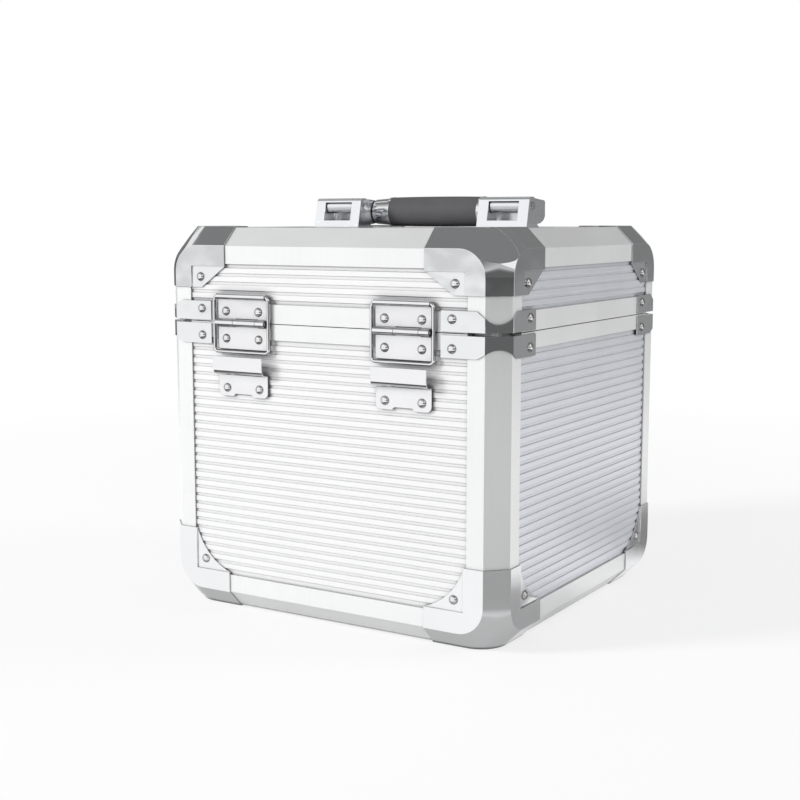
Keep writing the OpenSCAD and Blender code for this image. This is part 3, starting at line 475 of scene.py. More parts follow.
# %% Rounding helper
BEND_ANGLES = (math.radians(24), math.radians(75))
CREASE_ANGLE = math.radians(8.5)
SHARP_ANGLE = math.radians(60)
SHEET_BEND = 0.6 * MM
CUT_RIM = 0.25 * MM
ROLLED_RIM = 0.3 * MM


def weigh_edges(mesh, bend, rim, widest):
    """Stores how much of the modifier's width each edge gets."""
    build = bmesh.new()
    build.from_mesh(mesh)
    layer = build.edges.layers.float.new("bevel_weight_edge")
    for edge in build.edges:
        if not edge.is_manifold or not edge.is_convex:
            continue
        angle = edge.calc_face_angle(0)
        if BEND_ANGLES[0] < angle <= BEND_ANGLES[1]:
            edge[layer] = bend / widest
        elif angle > CREASE_ANGLE:
            edge[layer] = rim / widest
    build.to_mesh(mesh)
    build.free()


def rounded(name, node_names, body, finish, bend=SHEET_BEND, rim=CUT_RIM, segments=3,
            mesh=None):
    mesh = mesh or welded_copy(name, node_names)
    widest = max(bend, rim)
    weigh_edges(mesh, bend, rim, widest)
    mesh.materials.append(finish)
    mesh.shade_smooth()
    piece = new_piece(name, mesh)
    bevel = piece.modifiers.new("round", "BEVEL")
    bevel.limit_method = "WEIGHT"
    bevel.width = widest
    bevel.segments = segments
    bevel.use_clamp_overlap = True
    weighted = piece.modifiers.new("flat", "WEIGHTED_NORMAL")
    weighted.keep_sharp = True
    mesh.set_sharp_from_angle(angle=SHARP_ANGLE)
    baked(piece)
    hand_over(piece, body, node_names)


print("rounding helper ready")

# %% [markdown]
# ## The pressed corner
# A press draws each cap from one flat blank, so its corner is made of simple surfaces: a flat
# facet cuts the corner, and it meets three cones. Each cone starts at the arc of one face and
# leans back at 45 degrees, so it is the bevel carried round the arc. Where the facet meets the
# cones it ends in a V. A sculpted or subdivided corner would lose those crisp lines, so the corner
# is worked out: the block is every point behind all those planes, and its corners are the points
# where three planes meet and no other plane cuts them off. Two blocks, one a wall's thickness
# inside the other, leave the shell that is joined to the frame's cap.

# %% Corner block, in mm from the case's sharp corner
CAP_BEVEL = 14.0
CAP_ARC = 21.0
CAP_WALL = 1.0
CONE_SIDES = 16
BLOCK_REACH = 36.0
BLOCK_SUM = 50.5
PLANE_SLACK = 1e-6
POINT_DIGITS = 5


def corner_planes(offset):
    """Outward normals and distances of the planes that bound a block, moved out by the offset."""
    edge = CAP_BEVEL - (math.sqrt(2) - 1) * offset
    middle = edge + CAP_ARC
    step = math.pi / 2 / CONE_SIDES
    side = [((-1, 0, 0), offset), ((1, 0, 0), BLOCK_REACH), ((1, 1, 0), BLOCK_SUM),
            ((-1, -1, 0), offset - edge)]
    for k in range(CONE_SIDES):
        c, s = math.cos((k + 0.5) * step), math.sin((k + 0.5) * step)
        side.append(((-c, -s, -1), CAP_ARC * math.cos(step / 2) + offset - middle * (c + s)))
    planes = [((-1, -1, -1), math.sqrt(2) * CAP_ARC + offset - 2 * middle)]
    planes += [(np.roll(row, turn), far) for turn in range(3) for row, far in side]
    return np.array([row for row, _ in planes], float), np.array([far for _, far in planes])


def corner_points(offset):
    normals, far = corner_planes(offset)
    lengths = np.linalg.norm(normals, axis=1)
    normals, far = normals / lengths[:, None], far / lengths
    count = len(far)
    trios = np.array([(i, j, k) for i in range(count) for j in range(i) for k in range(j)])
    sets = normals[trios]
    solid = np.abs(np.linalg.det(sets)) > PLANE_SLACK
    points = np.linalg.solve(sets[solid], far[trios][solid][..., None])[..., 0]
    inside = (points @ normals.T <= far + PLANE_SLACK).all(axis=1)
    return np.unique(np.round(points[inside], POINT_DIGITS), axis=0)


def corner_blocks(name, offset, level, down):
    """One block for each of the four corners at one end of the case."""
    build = bmesh.new()
    points = corner_points(offset) * MM
    for right in (-1, 1):
        for back in (-1, 1):
            verts = [build.verts.new((right * (HALF_W - u), back * (HALF_D - v), level - down * w))
                     for u, v, w in points]
            hull = bmesh.ops.convex_hull(build, input=verts)
            spare = [item for item in hull["geom_interior"] if isinstance(item, bmesh.types.BMVert)]
            bmesh.ops.delete(build, geom=spare, context="VERTS")
    bmesh.ops.recalc_face_normals(build, faces=build.faces)
    return mesh_from(build, name)


print("corner block points", len(corner_points(CAP_WALL)))

# %% Carving helpers
CARVED_GAP = 0.004 * MM
CARVED_ANGLE = math.radians(0.4)
CUBIC_CM = 1e-6


def carved(mesh, operation, tool_mesh):
    """One boolean step between two meshes, with the result as a plain mesh."""
    piece = new_piece("carving", mesh)
    tool = new_piece("carving_tool", tool_mesh)
    step = piece.modifiers.new("carve", "BOOLEAN")
    step.operation, step.solver, step.object = operation, "EXACT", tool
    baked(piece)
    result = piece.data
    for helper in (piece, tool):
        bpy.data.objects.remove(helper)
    return result


def cap_mesh(node_name, level, down):
    shell = carved(corner_blocks("cap_outside", CAP_WALL, level, down), "DIFFERENCE",
                   corner_blocks("cap_inside", 0.0, level, down))
    joined = carved(welded_copy(node_name + "_plain", [node_name]), "UNION", shell)
    build = bmesh.new()
    build.from_mesh(joined)
    simplify(build, CARVED_GAP, CARVED_ANGLE)
    build.to_mesh(joined)
    open_edges = sum(not edge.is_manifold for edge in build.edges)
    volume = build.calc_volume() / CUBIC_CM
    print(node_name, "faces", len(build.faces), "open edges", open_edges, "volume cm3", volume)
    build.free()
    return joined


print("carving helpers ready")

# %% [markdown]
# ## Corner caps and split brackets
# The caps are drawn steel: three arms that wrap the frame's bevels, with arc-shaped ends where
# they meet. The lid's caps are chromed and the base's are brushed. The split brackets are bent
# from the same chromed strip. One radius for all of them would be simpler, but the base's caps are
# drawn from softer sheet. So their bends are wider, and one more segment keeps them smooth.

# %% Caps and brackets
LID_CAP_BEND = 0.9 * MM
BASE_CAP_BEND = 2.4 * MM
rounded("lid_caps_pressed", ["lid_corner_caps"], "lid", cap_chrome,
        bend=LID_CAP_BEND, mesh=cap_mesh("lid_corner_caps", RAILS_TOP, 1))
rounded("base_caps_pressed", ["base_corner_caps"], "base", cap_satin,
        bend=BASE_CAP_BEND, segments=4, mesh=cap_mesh("base_corner_caps", RAILS_BOTTOM, -1))
for body in ("lid", "base"):
    rounded(f"{body}_brackets_bent", [f"{body}_corner_brackets"], body, cap_chrome)

# %% [markdown]
# ## Drawn profiles
# The posts, rails and rims are drawn through a die, which leaves every edge with the same small
# round along its whole length. A profile could also be swept along a path. The frame's solids
# already meet each other rightly, so they are only rounded, and the posts, which hands and floors
# touch most, have the widest bend.

# %% Posts, rails and rims
POST_BEND = 1.5 * MM
RAIL_BEND = 0.9 * MM
for body in ("base", "lid"):
    for part, bend in (("posts", POST_BEND), ("rails", RAIL_BEND), ("rim", RAIL_BEND)):
        rounded(f"{body}_{part}_drawn", [f"{body}_{part}"], body, frame_alloy,
                bend=bend, rim=ROLLED_RIM)

# %% [markdown]
# ## Hinges, latches and handle castings
# Stamped leaves and pockets have a small rolled rim. The handle's brackets and arms are die cast,
# with softer edges. Each could get a Bevel modifier by hand. One list, with a name, a node, a
# body, a finish and a rim on each line, does the same in a loop.

# %% Hardware with rounded edges
HARDWARE = [
    # name, node, body, slot, finish, rim
    ("hinge_leaves_low", "hinge_lower_leaves", "base", "hinge_nickel", nickel, ROLLED_RIM),
    ("hinge_leaves_high", "hinge_upper_leaves", "lid", "hinge_nickel", nickel, ROLLED_RIM),
    ("stay_pockets_pressed", "stay_pockets", "base", "hinge_nickel", nickel, ROLLED_RIM),
    ("latch_plates_stamped", "latch_plates", "base", "hinge_nickel", nickel, CUT_RIM),
    ("latch_keepers_stamped", "latch_keepers", "lid", "hinge_nickel", nickel, CUT_RIM),
    ("handle_brackets_cast", "handle_brackets", "lid", "handle_cast", handle_cast, 1.1 * MM),
    ("handle_arms_cast", "handle_arms", "handle", "handle_cast", handle_cast, 0.8 * MM),
]
for name, node_name, body, slot, finish, rim in HARDWARE:
    rounded(name, [node_name], body, finish, rim=rim)

# %% [markdown]
# ## Helpers for geometry trees
# What repeats on the case, such as ribs and rivets, comes from Geometry Nodes. An Array modifier
# could repeat them too, but a tree also shapes each copy, and its sizes are inputs with names, so
# that many pieces share it. Each tree ends by making its copies real and setting their material,
# and the result is kept as a plain mesh.

# %% Helpers for geometry trees
def new_tree(name, inputs):
    """A tree with one geometry output and the named inputs, listed by their kind."""
    tree = bpy.data.node_groups.new(name, "GeometryNodeTree")
    tree.interface.new_socket("Geometry", in_out="OUTPUT", socket_type="NodeSocketGeometry")
    for kind, labels in inputs.items():
        for label in labels:
            tree.interface.new_socket(label, in_out="INPUT", socket_type="NodeSocket" + kind)
    start = tree.nodes.new("NodeGroupInput")
    return tree, start.outputs


def joined(tree, *parts):
    join = tree.nodes.new("GeometryNodeJoinGeometry")
    for part in parts:
        tree.links.new(part, join.inputs[0])
    return join.outputs[0]


def close_tree(tree, geometry, finish):
    """Ends a tree: instances become real, and the material is set."""
    real = add(tree, "GeometryNodeRealizeInstances", Geometry=geometry).outputs[0]
    painted = add(tree, "GeometryNodeSetMaterial", Geometry=real, Material=finish).outputs[0]
    end = tree.nodes.new("NodeGroupOutput")
    tree.links.new(painted, end.inputs[0])


def grown(name, tree, values, seed_mesh=None):
    """Runs a tree on a new piece and keeps the result as a plain mesh."""
    piece = new_piece(name, seed_mesh or bpy.data.meshes.new(name))
    modifier = piece.modifiers.new("grow", "NODES")
    modifier.node_group = tree
    for socket in tree.interface.items_tree:
        if socket.in_out == "INPUT" and socket.name in values:
            modifier[socket.identifier] = values[socket.name]
    piece.update_tag()
    return baked(piece)


print("geometry tree helpers ready")

# %% [markdown]
# ## Ribbed sheets
# Each panel is a thin aluminium sheet with straight ribs rolled into it. A bump in the material
# would look flat at the sheet's edge, so the ribs are real. The tree takes a grid with eight
# columns and many rows, lifts it row by row to the shape of a rib, pushes it back once for the
# thickness of the metal, and turns it onto its side of the case. The ribs stop short of the
# sheet's ends, where the sheet slides under the frame's lip, and two corners may be cut to clear
# the caps.
#
# Each row knows its column by the distance from the middle: 0.5 and 1.5 lie on the rib, 2.5 a
# hair past its end, and 3.5 at the sheet's own end.

# %% The shape of a rib
RIB_PITCH = 6.5 * MM
RIB_RISE = 0.7 * MM
RIB_CREST = 3.7 * MM
RIB_FOOT = 4.8 * MM
RIB_END = 0.15 * MM
GRID_COLUMNS = 8


def row_reach(tree, size, spot, column):
    """How far from the middle each column of a row lies."""
    half = times(tree, size["Length"], 0.5)
    past_rib = over(tree, column, 2.0)
    on_rib = under(tree, column, 1.0)
    step = times(tree, minus(tree, past_rib, on_rib), RIB_END)
    reach = plus(tree, size["Rib Half Length"], step)
    to_end = times(tree, over(tree, column, 3.0), minus(tree, half, reach))
    reach = plus(tree, reach, to_end)
    # cut corners: a row may not reach past the line that cuts them
    top = over(tree, spot["Y"], 0.0)
    cut = plus(tree, times(tree, top, size["Cut High"]),
               times(tree, minus(tree, 1.0, top), size["Cut Low"]))
    tall = times(tree, size["Height"], 0.5)
    line = minus(tree, plus(tree, half, tall), plus(tree, cut, size_of(tree, spot["Y"])))
    return lower_of(tree, reach, line)


def rib_lift(tree, size, spot, column):
    """How high a point stands: the distance from the nearest rib's middle decides."""
    start = minus(tree, spot["Y"], size["First Rib"])
    number = math_node(tree, "ROUND", math_node(tree, "DIVIDE", start, size["Pitch"]))
    away = size_of(tree, minus(tree, start, times(tree, number, size["Pitch"])))
    lift = add(tree, "ShaderNodeMapRange", {"interpolation_type": "SMOOTHSTEP"}, in0=away,
               in1=times(tree, size["Crest"], 0.5), in2=times(tree, size["Foot"], 0.5),
               in3=size["Rise"], in4=0.0).outputs[0]
    slack = times(tree, size["Pitch"], 0.5)
    above = over(tree, spot["Y"], minus(tree, size["First Rib"], slack))
    below = under(tree, spot["Y"], plus(tree, size["Last Rib"], slack))
    on_rib = minus(tree, 1.0, over(tree, column, 2.0))
    for share in (above, below, on_rib):
        lift = times(tree, lift, share)
    return lift


print("rib mm", RIB_PITCH / MM, RIB_RISE / MM)

# %% The ribbed sheet tree
SEAM_GAP = 0.005 * MM


def thickened(tree, face, thickness):
    """Pushes a second face back, turns it over and welds it to the first."""
    push = add(tree, "ShaderNodeCombineXYZ", Z=times(tree, thickness, -1.0)).outputs[0]
    back = add(tree, "GeometryNodeExtrudeMesh", {"mode": "FACES"}, Mesh=face, Offset=push,
               Offset_Scale=1.0, Individual=False).outputs[0]
    back = add(tree, "GeometryNodeFlipFaces", Mesh=back).outputs[0]
    return add(tree, "GeometryNodeMergeByDistance", Geometry=joined(tree, face, back),
               Distance=SEAM_GAP).outputs[0]


def ribbed_sheet_tree():
    tree, size = new_tree("ribbed_sheet", {
        "Float": ("Length", "Height", "Thickness", "Rib Half Length", "First Rib", "Last Rib",
                  "Pitch", "Rise", "Crest", "Foot", "Cut Low", "Cut High"),
        "Int": ("Rows",), "Vector": ("Turn", "Place"), "Material": ("Material",)})
    grid = add(tree, "GeometryNodeMeshGrid", Size_X=float(GRID_COLUMNS - 1),
               Size_Y=size["Height"], Vertices_X=GRID_COLUMNS, Vertices_Y=size["Rows"]).outputs[0]
    spot = axes_of(tree, add(tree, "GeometryNodeInputPosition").outputs[0])
    column = size_of(tree, spot["X"])
    side = math_node(tree, "SIGN", spot["X"])
    reach = row_reach(tree, size, spot, column)
    lift = rib_lift(tree, size, spot, column)
    moved = add(tree, "ShaderNodeCombineXYZ", X=times(tree, side, reach), Y=spot["Y"], Z=lift)
    face = add(tree, "GeometryNodeSetPosition", Geometry=grid, Position=moved.outputs[0])
    sheet = thickened(tree, face.outputs[0], size["Thickness"])
    smooth = add(tree, "GeometryNodeSetShadeSmooth", Geometry=sheet).outputs[0]
    turn = add(tree, "FunctionNodeEulerToRotation", in0=size["Turn"]).outputs[0]
    placed = add(tree, "GeometryNodeTransform", Geometry=smooth, Translation=size["Place"],
                 Rotation=turn).outputs[0]
    close_tree(tree, placed, size["Material"])
    return tree


ribbed_sheet = ribbed_sheet_tree()
print("ribbed sheet tree nodes", len(ribbed_sheet.nodes))

# %% [markdown]
# ## Nine sheets from one tree
# A maker cuts each sheet to its opening and centres the ribs in it, so that the first and the last
# rib look alike. The script does the same: it measures the node that the sheet stands for, fits
# whole pitches between the frame's lips, and hands the sizes to the tree. Nine trees with fixed
# sizes would be longer and would not follow the case.

# %% Fit one sheet
FLANGE = 27.7 * MM
SHEET_THICKNESS = 1.0 * MM
ROW_STEP = 0.2 * MM
WHOLE_SLACK = 1e-6


def lay_sheet(node_name, body, outward, up, limits, cuts, finish):
    low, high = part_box(node_name)
    along = up.cross(outward)
    size = high - low
    middle = (low + high) / 2
    span = abs(size.dot(along))
    tall = abs(size.dot(up))
    count = int((limits[1] - limits[0]) / RIB_PITCH + WHOLE_SLACK)
    centre = (limits[0] + limits[1]) / 2 - middle.dot(up)
    first = centre - (count - 1) * RIB_PITCH / 2
    half_case = HALF_W if abs(along.x) > 0.5 else HALF_D
    depth = max(low.dot(outward), high.dot(outward)) - RIB_RISE
    place = middle + outward * (depth - middle.dot(outward))
    turn = Matrix((along, up, outward)).transposed().to_euler()
    piece = grown(node_name.replace("panel", "sheet"), ribbed_sheet, {
        "Length": span, "Height": tall, "Thickness": SHEET_THICKNESS,
        "Rows": int(tall / ROW_STEP) + 1, "Rib Half Length": half_case - FLANGE,
        "First Rib": first, "Last Rib": first + (count - 1) * RIB_PITCH,
        "Pitch": RIB_PITCH, "Rise": RIB_RISE, "Crest": RIB_CREST, "Foot": RIB_FOOT,
        "Cut Low": cuts[0], "Cut High": cuts[1], "Turn": tuple(turn), "Place": tuple(place),
        "Material": finish})
    hand_over(piece, body, [node_name])


print("sheet helper ready")

# %% Nine ribbed sheets
LID_BAND = 15 * MM
BASE_BAND = 12 * MM
CORNER_CUT = 12 * MM
UP = Vector((0, 0, 1))
BACK = Vector((0, 1, 0))
FACING = {"back": BACK, "front": -BACK, "left": Vector((-1, 0, 0)), "right": Vector((1, 0, 0))}
BASE_LIMITS = (RAILS_BOTTOM + FLANGE, SPLIT - BASE_BAND)
LID_LIMITS = (SPLIT + LID_BAND, RAILS_TOP - FLANGE)
TOP_LIMITS = (FLANGE - HALF_D, HALF_D - FLANGE)
for word, outward in FACING.items():
    # The narrow sides take the darker, bluer copy, which is painted shade.
    finish = ribbed_alloy_x if word in ("back", "front") else ribbed_alloy_y_painted_shade
    lay_sheet(f"base_{word}_panel", "base", outward, UP, BASE_LIMITS, (CORNER_CUT, 0), finish)
    lay_sheet(f"lid_{word}_panel", "lid", outward, UP, LID_LIMITS, (0, CORNER_CUT), finish)
lay_sheet("lid_top_panel", "lid", UP, BACK, TOP_LIMITS, (CORNER_CUT, CORNER_CUT), ribbed_alloy_x)

# %% [markdown]
# ## Rivets
# A domed rivet shows a low polished head with a rounded rim, and its shank goes through the sheets.
# The places and the outward directions are measured from the frame's own rivets, because each is a
# separate island of its node's mesh. Typing the places in, or copying one rivet by hand, would
# leave them behind when a bracket moves. A tree then puts one dome and its shank on every place.

# %% The rivet tree
DOME_SEGMENTS = 28
DOME_RINGS = 18
SHANK_SIDES = 16


def rivet_tree():
    tree, size = new_tree("domed_rivets", {
        "Geometry": ("Places",), "Material": ("Material",),
        "Float": ("Head Radius", "Head Rise", "Sink", "Shank Radius", "Shank Length")})
    ball = add(tree, "GeometryNodeMeshUVSphere", Segments=DOME_SEGMENTS, Rings=DOME_RINGS,
               Radius=1.0).outputs[0]
    spot = axes_of(tree, add(tree, "GeometryNodeInputPosition").outputs[0])
    top = over(tree, spot["Z"], 0.0)
    rise = plus(tree, size["Sink"],
                times(tree, top, minus(tree, size["Head Rise"], size["Sink"])))
    squashed = add(tree, "ShaderNodeCombineXYZ", X=times(tree, spot["X"], size["Head Radius"]),
                   Y=times(tree, spot["Y"], size["Head Radius"]),
                   Z=times(tree, spot["Z"], rise)).outputs[0]
    dome = add(tree, "GeometryNodeSetPosition", Geometry=ball, Position=squashed).outputs[0]
    shank = add(tree, "GeometryNodeMeshCylinder", Vertices=SHANK_SIDES,
                Radius=size["Shank Radius"], Depth=size["Shank Length"]).outputs[0]
    drop = add(tree, "ShaderNodeCombineXYZ", Z=times(tree, size["Shank Length"], -0.5)).outputs[0]
    shank = add(tree, "GeometryNodeTransform", Geometry=shank, Translation=drop).outputs[0]
    rivet = joined(tree, dome, shank)
    outward = add(tree, "GeometryNodeInputNamedAttribute", {"data_type": "FLOAT_VECTOR"},
                  Name="outward").outputs[0]
    aim = add(tree, "FunctionNodeAlignRotationToVector", {"axis": "Z"}, Vector=outward).outputs[0]
    copies = add(tree, "GeometryNodeInstanceOnPoints", Points=size["Places"], Instance=rivet,
                 Rotation=aim).outputs[0]
    smooth = add(tree, "GeometryNodeSetShadeSmooth", Geometry=copies).outputs[0]
    close_tree(tree, smooth, size["Material"])
    return tree


domed_rivets = rivet_tree()
print("rivet tree nodes", len(domed_rivets.nodes))

# %% Measure the frame's rivets
HEAD_RADIUS = 3.4 * MM
HEAD_RISE = 2.2 * MM
HEAD_SINK = 0.35 * MM
SHANK_RADIUS = 1.6 * MM


def islands(mesh):
    """Lists the corner points of each separate solid in a node's mesh."""
    build = bmesh.new()
    build.from_mesh(mesh)
    bmesh.ops.remove_doubles(build, verts=build.verts, dist=WELD_GAP)
    seen = set()
    found = []
    for start in build.verts:
        if start in seen:
            continue
        seen.add(start)
        todo = [start]
        island = []
        while todo:
            vertex = todo.pop()
            island.append(vertex.co.copy())
            for edge in vertex.link_edges:
                other = edge.other_vert(vertex)
                if other not in seen:
                    seen.add(other)
                    todo.append(other)
        found.append(island)
    build.free()
    return found


def measured_rivet(island):
    """The seat under a rivet's head, the way it points and the length of its shank."""
    low = Vector([min(point[axis] for point in island) for axis in range(3)])
    high = Vector([max(point[axis] for point in island) for axis in range(3)])
    middle = (low + high) / 2
    axis = 0 if abs(middle.x) / HALF_W > abs(middle.y) / HALF_D else 1
    sign = 1 if middle[axis] > 0 else -1
    outward = Vector((0, 0, 0))
    outward[axis] = sign
    seat = middle.copy()
    seat[axis] = (high if sign > 0 else low)[axis] - sign * HEAD_RISE
    return seat, outward, high[axis] - low[axis] - HEAD_RISE


def set_rivets(node_name, body):
    """Grows the rivets of one node, all with the shank of its shortest rivet."""
    rivets = [measured_rivet(island) for island in islands(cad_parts[node_name].data)]
    seats, arrows, shanks = zip(*rivets)
    places = bpy.data.meshes.new(node_name + "_places")
    places.from_pydata([tuple(seat) for seat in seats], [], [])
    outward = places.attributes.new("outward", "FLOAT_VECTOR", "POINT")
    outward.data.foreach_set("vector", [value for arrow in arrows for value in arrow])
    piece = grown(node_name + "_domed", domed_rivets, {
        "Head Radius": HEAD_RADIUS, "Head Rise": HEAD_RISE, "Sink": HEAD_SINK,
        "Shank Radius": SHANK_RADIUS, "Shank Length": min(shanks), "Material": rivet_chrome},
        places)
    hand_over(piece, body, [node_name])
    print(node_name, "rivets", len(seats), "shanks mm", min(shanks) / MM, max(shanks) / MM)


for body in ("base", "lid"):
    set_rivets(f"{body}_rivets", body)

# %% [markdown]
# ## Studio: what the metal sees
# Metal shows what stands round it, so the room matters as much as the metal. Real cards and lamps
# could be modelled, but each would also throw its light on the pale sheets. Here the room is
# painted on the world, and only glossy rays see it. The camera sees plain white, and all other
# rays meet a soft even light.
#
# The room is white to the horizon and darker overhead, and its ceiling starts higher on the side
# of the key light. Four dark cards give the chrome its dark bands: each is a soft round patch in
# one direction. A dim line stands where floor and wall would meet. One strip lamp runs across the
# ceiling, and one round lamp lights the left side's caps.

# %% The room's sizes
CEILING = 0.22
CEILING_SPAN = (0.10, 0.66)
CEILING_LEAN = 0.36
KEY_SIDE = (0.52, 0.85, 0.0)
CARDS = [
    # direction of the dark card's middle, cosine at its soft edge, cosine where full, its level
    ((-0.40, -0.90, -0.13), 0.80, 0.93, 0.30),
    ((-0.86, 0.49, -0.14), 0.82, 0.93, 0.13),
    ((-0.55, 0.83, -0.10), 0.90, 0.96, 0.22),
    ((0.85, -0.52, 0.0), 0.88, 0.97, 0.20),
]
SKYLINE = 0.72
SKYLINE_HALF = (0.02, 0.07)
STRIP = 0.9
STRIP_AT = -0.18
STRIP_HALF = (0.07, 0.112)
OVERHEAD = (0.3, 0.4)
SIDE_LIGHT = (-0.80, 0.05, 0.60)
SIDE_SPAN = (0.925, 0.945)
AMBIENT_LOW = 0.50
AMBIENT_HIGH = 0.42
print("dark cards in the room", len(CARDS))

# %% World
def ramp(tree, value, start, end, low, high):
    """Like spread, with a soft start and a soft end."""
    return add(tree, "ShaderNodeMapRange", {"interpolation_type": "SMOOTHSTEP"}, in0=value,
               in1=start, in2=end, in3=low, in4=high).outputs[0]


def along(tree, direction, axis):
    """The cosine between a direction and an axis."""
    return add(tree, "ShaderNodeVectorMath", {"operation": "DOT_PRODUCT"}, in0=direction,
               in1=Vector(axis).normalized()).outputs["Value"]


def mirrored_room(tree, direction, height):
    lean = times(tree, along(tree, direction, KEY_SIDE), CEILING_LEAN)
    level = ramp(tree, minus(tree, height, lean), *CEILING_SPAN, 1.0, CEILING)
    for middle, edge, full, card_level in CARDS:
        card = ramp(tree, along(tree, direction, middle), edge, full, 1.0, card_level)
        level = lower_of(tree, level, card)
    skyline = ramp(tree, size_of(tree, height), *SKYLINE_HALF, SKYLINE, 1.0)
    level = times(tree, level, skyline)
    from_strip = size_of(tree, minus(tree, along(tree, direction, (0, 1, 0)), STRIP_AT))
    strip = ramp(tree, from_strip, *STRIP_HALF, STRIP, 0.0)
    level = higher_of(tree, level, times(tree, strip, ramp(tree, height, *OVERHEAD, 0.0, 1.0)))
    side_light = ramp(tree, along(tree, direction, SIDE_LIGHT), *SIDE_SPAN, 0.0, 1.0)
    return higher_of(tree, level, side_light)


def studio_world():
    world = bpy.data.worlds.new("studio")
    world.use_nodes = True
    tree = world.node_tree
    direction = add(tree, "ShaderNodeTexCoord").outputs["Generated"]
    height = axes_of(tree, direction)["Z"]
    soft = ramp(tree, height, 0.0, 1.0, AMBIENT_LOW, AMBIENT_HIGH)
    ray = add(tree, "ShaderNodeLightPath").outputs
    lit = add(tree, "ShaderNodeMix", {"data_type": "FLOAT"}, in0=ray["Is Glossy Ray"], in2=soft,
              in3=mirrored_room(tree, direction, height)).outputs[0]
    direct = higher_of(tree, ray["Is Camera Ray"], ray["Is Transmission Ray"])
    shown = add(tree, "ShaderNodeMix", {"data_type": "FLOAT"}, in0=direct, in2=lit, in3=1.0)
    feed(tree, tree.nodes["Background"], Color=(1, 1, 1, 1), Strength=shown.outputs[0])
    return world


scene.world = studio_world()
print("world nodes", len(scene.world.node_tree.nodes))

# %% [markdown]
# ## Floor
# The case stands on pale paper that runs into the white behind it. A curved backdrop would do
# that in a real studio. Here a flat disc is enough, because its colour turns to pure white towards
# its rim, and near the case it still takes the shadow.
#
# The lower edges of the case mirror this floor. All white, they would melt into it, so for glossy
# rays alone the floor has three dark mats, and it is darker where a ray meets it steeply, which is
# what the bevels under the case do. That shade grows with the distance from the case.

# %% Floor
FLOOR_RADIUS = 1.3
FLOOR_SIDES = 96
FLOOR_COLOUR = (0.96, 0.96, 0.96, 1)
FLOOR_ROUGH = 0.9
FLOOR_SHINE = 0.1
FLOOR_FADE = (0.45, 1.2)
FLOOR_GLOW = 0.70
MATS = [
    # middle, radius where the dark mat is full, radius where it ends, its level
    ((-0.40, 0.25), 0.17, 0.28, 0.36),
    ((-0.21, 0.03), 0.06, 0.10, 0.40),
    ((-0.22, -0.31), 0.09, 0.15, 0.26),
]
STEEP_SPAN = (0.40, 0.62)
STEEP_LEVELS = (0.50, 0.10)
STEEP_START = (0.20, 0.26)


def mirrored_floor(tree, point):
    """How bright the floor is to a glossy ray, from 0 to 1."""
    facing = add(tree, "ShaderNodeLayerWeight", Blend=0.5).outputs["Facing"]
    spot = axes_of(tree, point)
    out = higher_of(tree, size_of(tree, spot["X"]), size_of(tree, spot["Y"]))
    steep = spread(tree, out, *STEEP_LEVELS, STEEP_START)
    level = spread(tree, facing, steep, 1.0, STEEP_SPAN)
    for middle, full, end, mat_level in MATS:
        gap = add(tree, "ShaderNodeVectorMath", {"operation": "DISTANCE"}, in0=point,
                  in1=(*middle, 0)).outputs["Value"]
        level = lower_of(tree, level, spread(tree, gap, mat_level, 1.0, (full, end)))
    return level


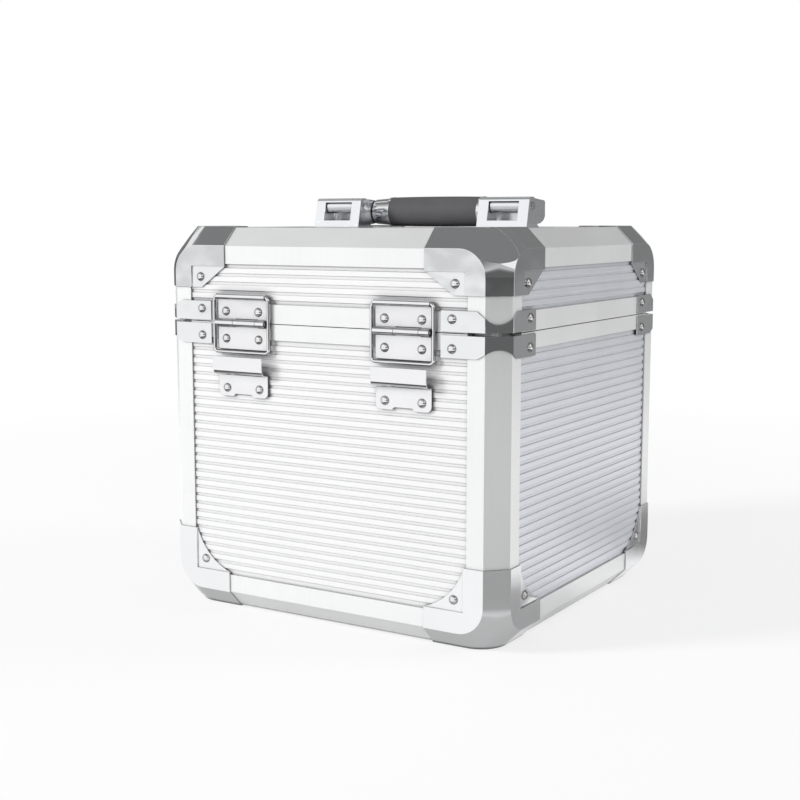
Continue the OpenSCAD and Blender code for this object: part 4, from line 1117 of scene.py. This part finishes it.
def floor_finish():
    material, tree, shader = new_material("floor_pale")
    feed(tree, shader, Base_Color=FLOOR_COLOUR, Roughness=FLOOR_ROUGH,
         Specular_IOR_Level=FLOOR_SHINE)
    white = add(tree, "ShaderNodeEmission", Color=(1, 1, 1, 1), Strength=1.0).outputs[0]
    black = add(tree, "ShaderNodeEmission", Color=(0, 0, 0, 1), Strength=0.0).outputs[0]
    point = add(tree, "ShaderNodeTexCoord").outputs["Object"]
    radius = add(tree, "ShaderNodeVectorMath", {"operation": "LENGTH"}, in0=point)
    fade = spread(tree, radius.outputs["Value"], FLOOR_GLOW, 1.0, FLOOR_FADE)
    ray = add(tree, "ShaderNodeLightPath").outputs
    direct = higher_of(tree, ray["Is Camera Ray"], ray["Is Glossy Ray"])
    paper = add(tree, "ShaderNodeMixShader", Fac=times(tree, fade, direct), in1=shader.outputs[0],
                in2=white).outputs[0]
    dimmed = times(tree, minus(tree, 1.0, mirrored_floor(tree, point)), ray["Is Glossy Ray"])
    shown = add(tree, "ShaderNodeMixShader", Fac=dimmed, in1=paper, in2=black).outputs[0]
    feed(tree, tree.nodes["Material Output"], Surface=shown)
    return material


def make_floor():
    build = bmesh.new()
    bmesh.ops.create_circle(build, cap_ends=True, segments=FLOOR_SIDES, radius=FLOOR_RADIUS)
    mesh = mesh_from(build, "floor")
    mesh.materials.append(floor_finish())
    new_piece("floor", mesh)


make_floor()
print("floor radius", FLOOR_RADIUS, "mats", len(MATS))

# %% [markdown]
# ## Lamps
# Three soft boxes light the case. The key stands far out on the right, before the hinge side, so
# that it lights that side fully and leaves the left side in soft shade. The fill lifts the sides
# that the key misses, and a weak box overhead lifts the lid. A sun or a bare point lamp would draw
# hard shadows, where large areas draw soft ones. Glossy rays do not see the boxes, because the
# painted room already holds their mirror images. Their power is kept down, so that pale aluminium
# stays under white.

# %% Lamps
LAMPS = [
    # name, place, side, watts
    ("key_softbox", (2.20, 2.35, 1.60), 0.7, 94.0),
    ("fill_softbox", (-2.20, -1.60, 0.90), 1.5, 40.0),
    ("top_softbox", (0.10, -0.20, 2.20), 1.6, 1.5),
]
for name, place, side, watts in LAMPS:
    lamp = bpy.data.lights.new(name, "AREA")
    lamp.shape = "RECTANGLE"
    lamp.size = lamp.size_y = side
    lamp.energy = watts
    stand = new_piece(name, lamp)
    stand.location = place
    stand.rotation_euler = (CASE_MIDDLE - Vector(place)).to_track_quat("-Z", "Y").to_euler()
    stand.visible_glossy = False
print("lamps", len(LAMPS))

# %% [markdown]
# ## Colour view
# The Standard view shows each colour as it is written, where a filmic view would soften the whites
# that this case lives on.

# %% View and finish
scene.view_settings.view_transform = "Standard"
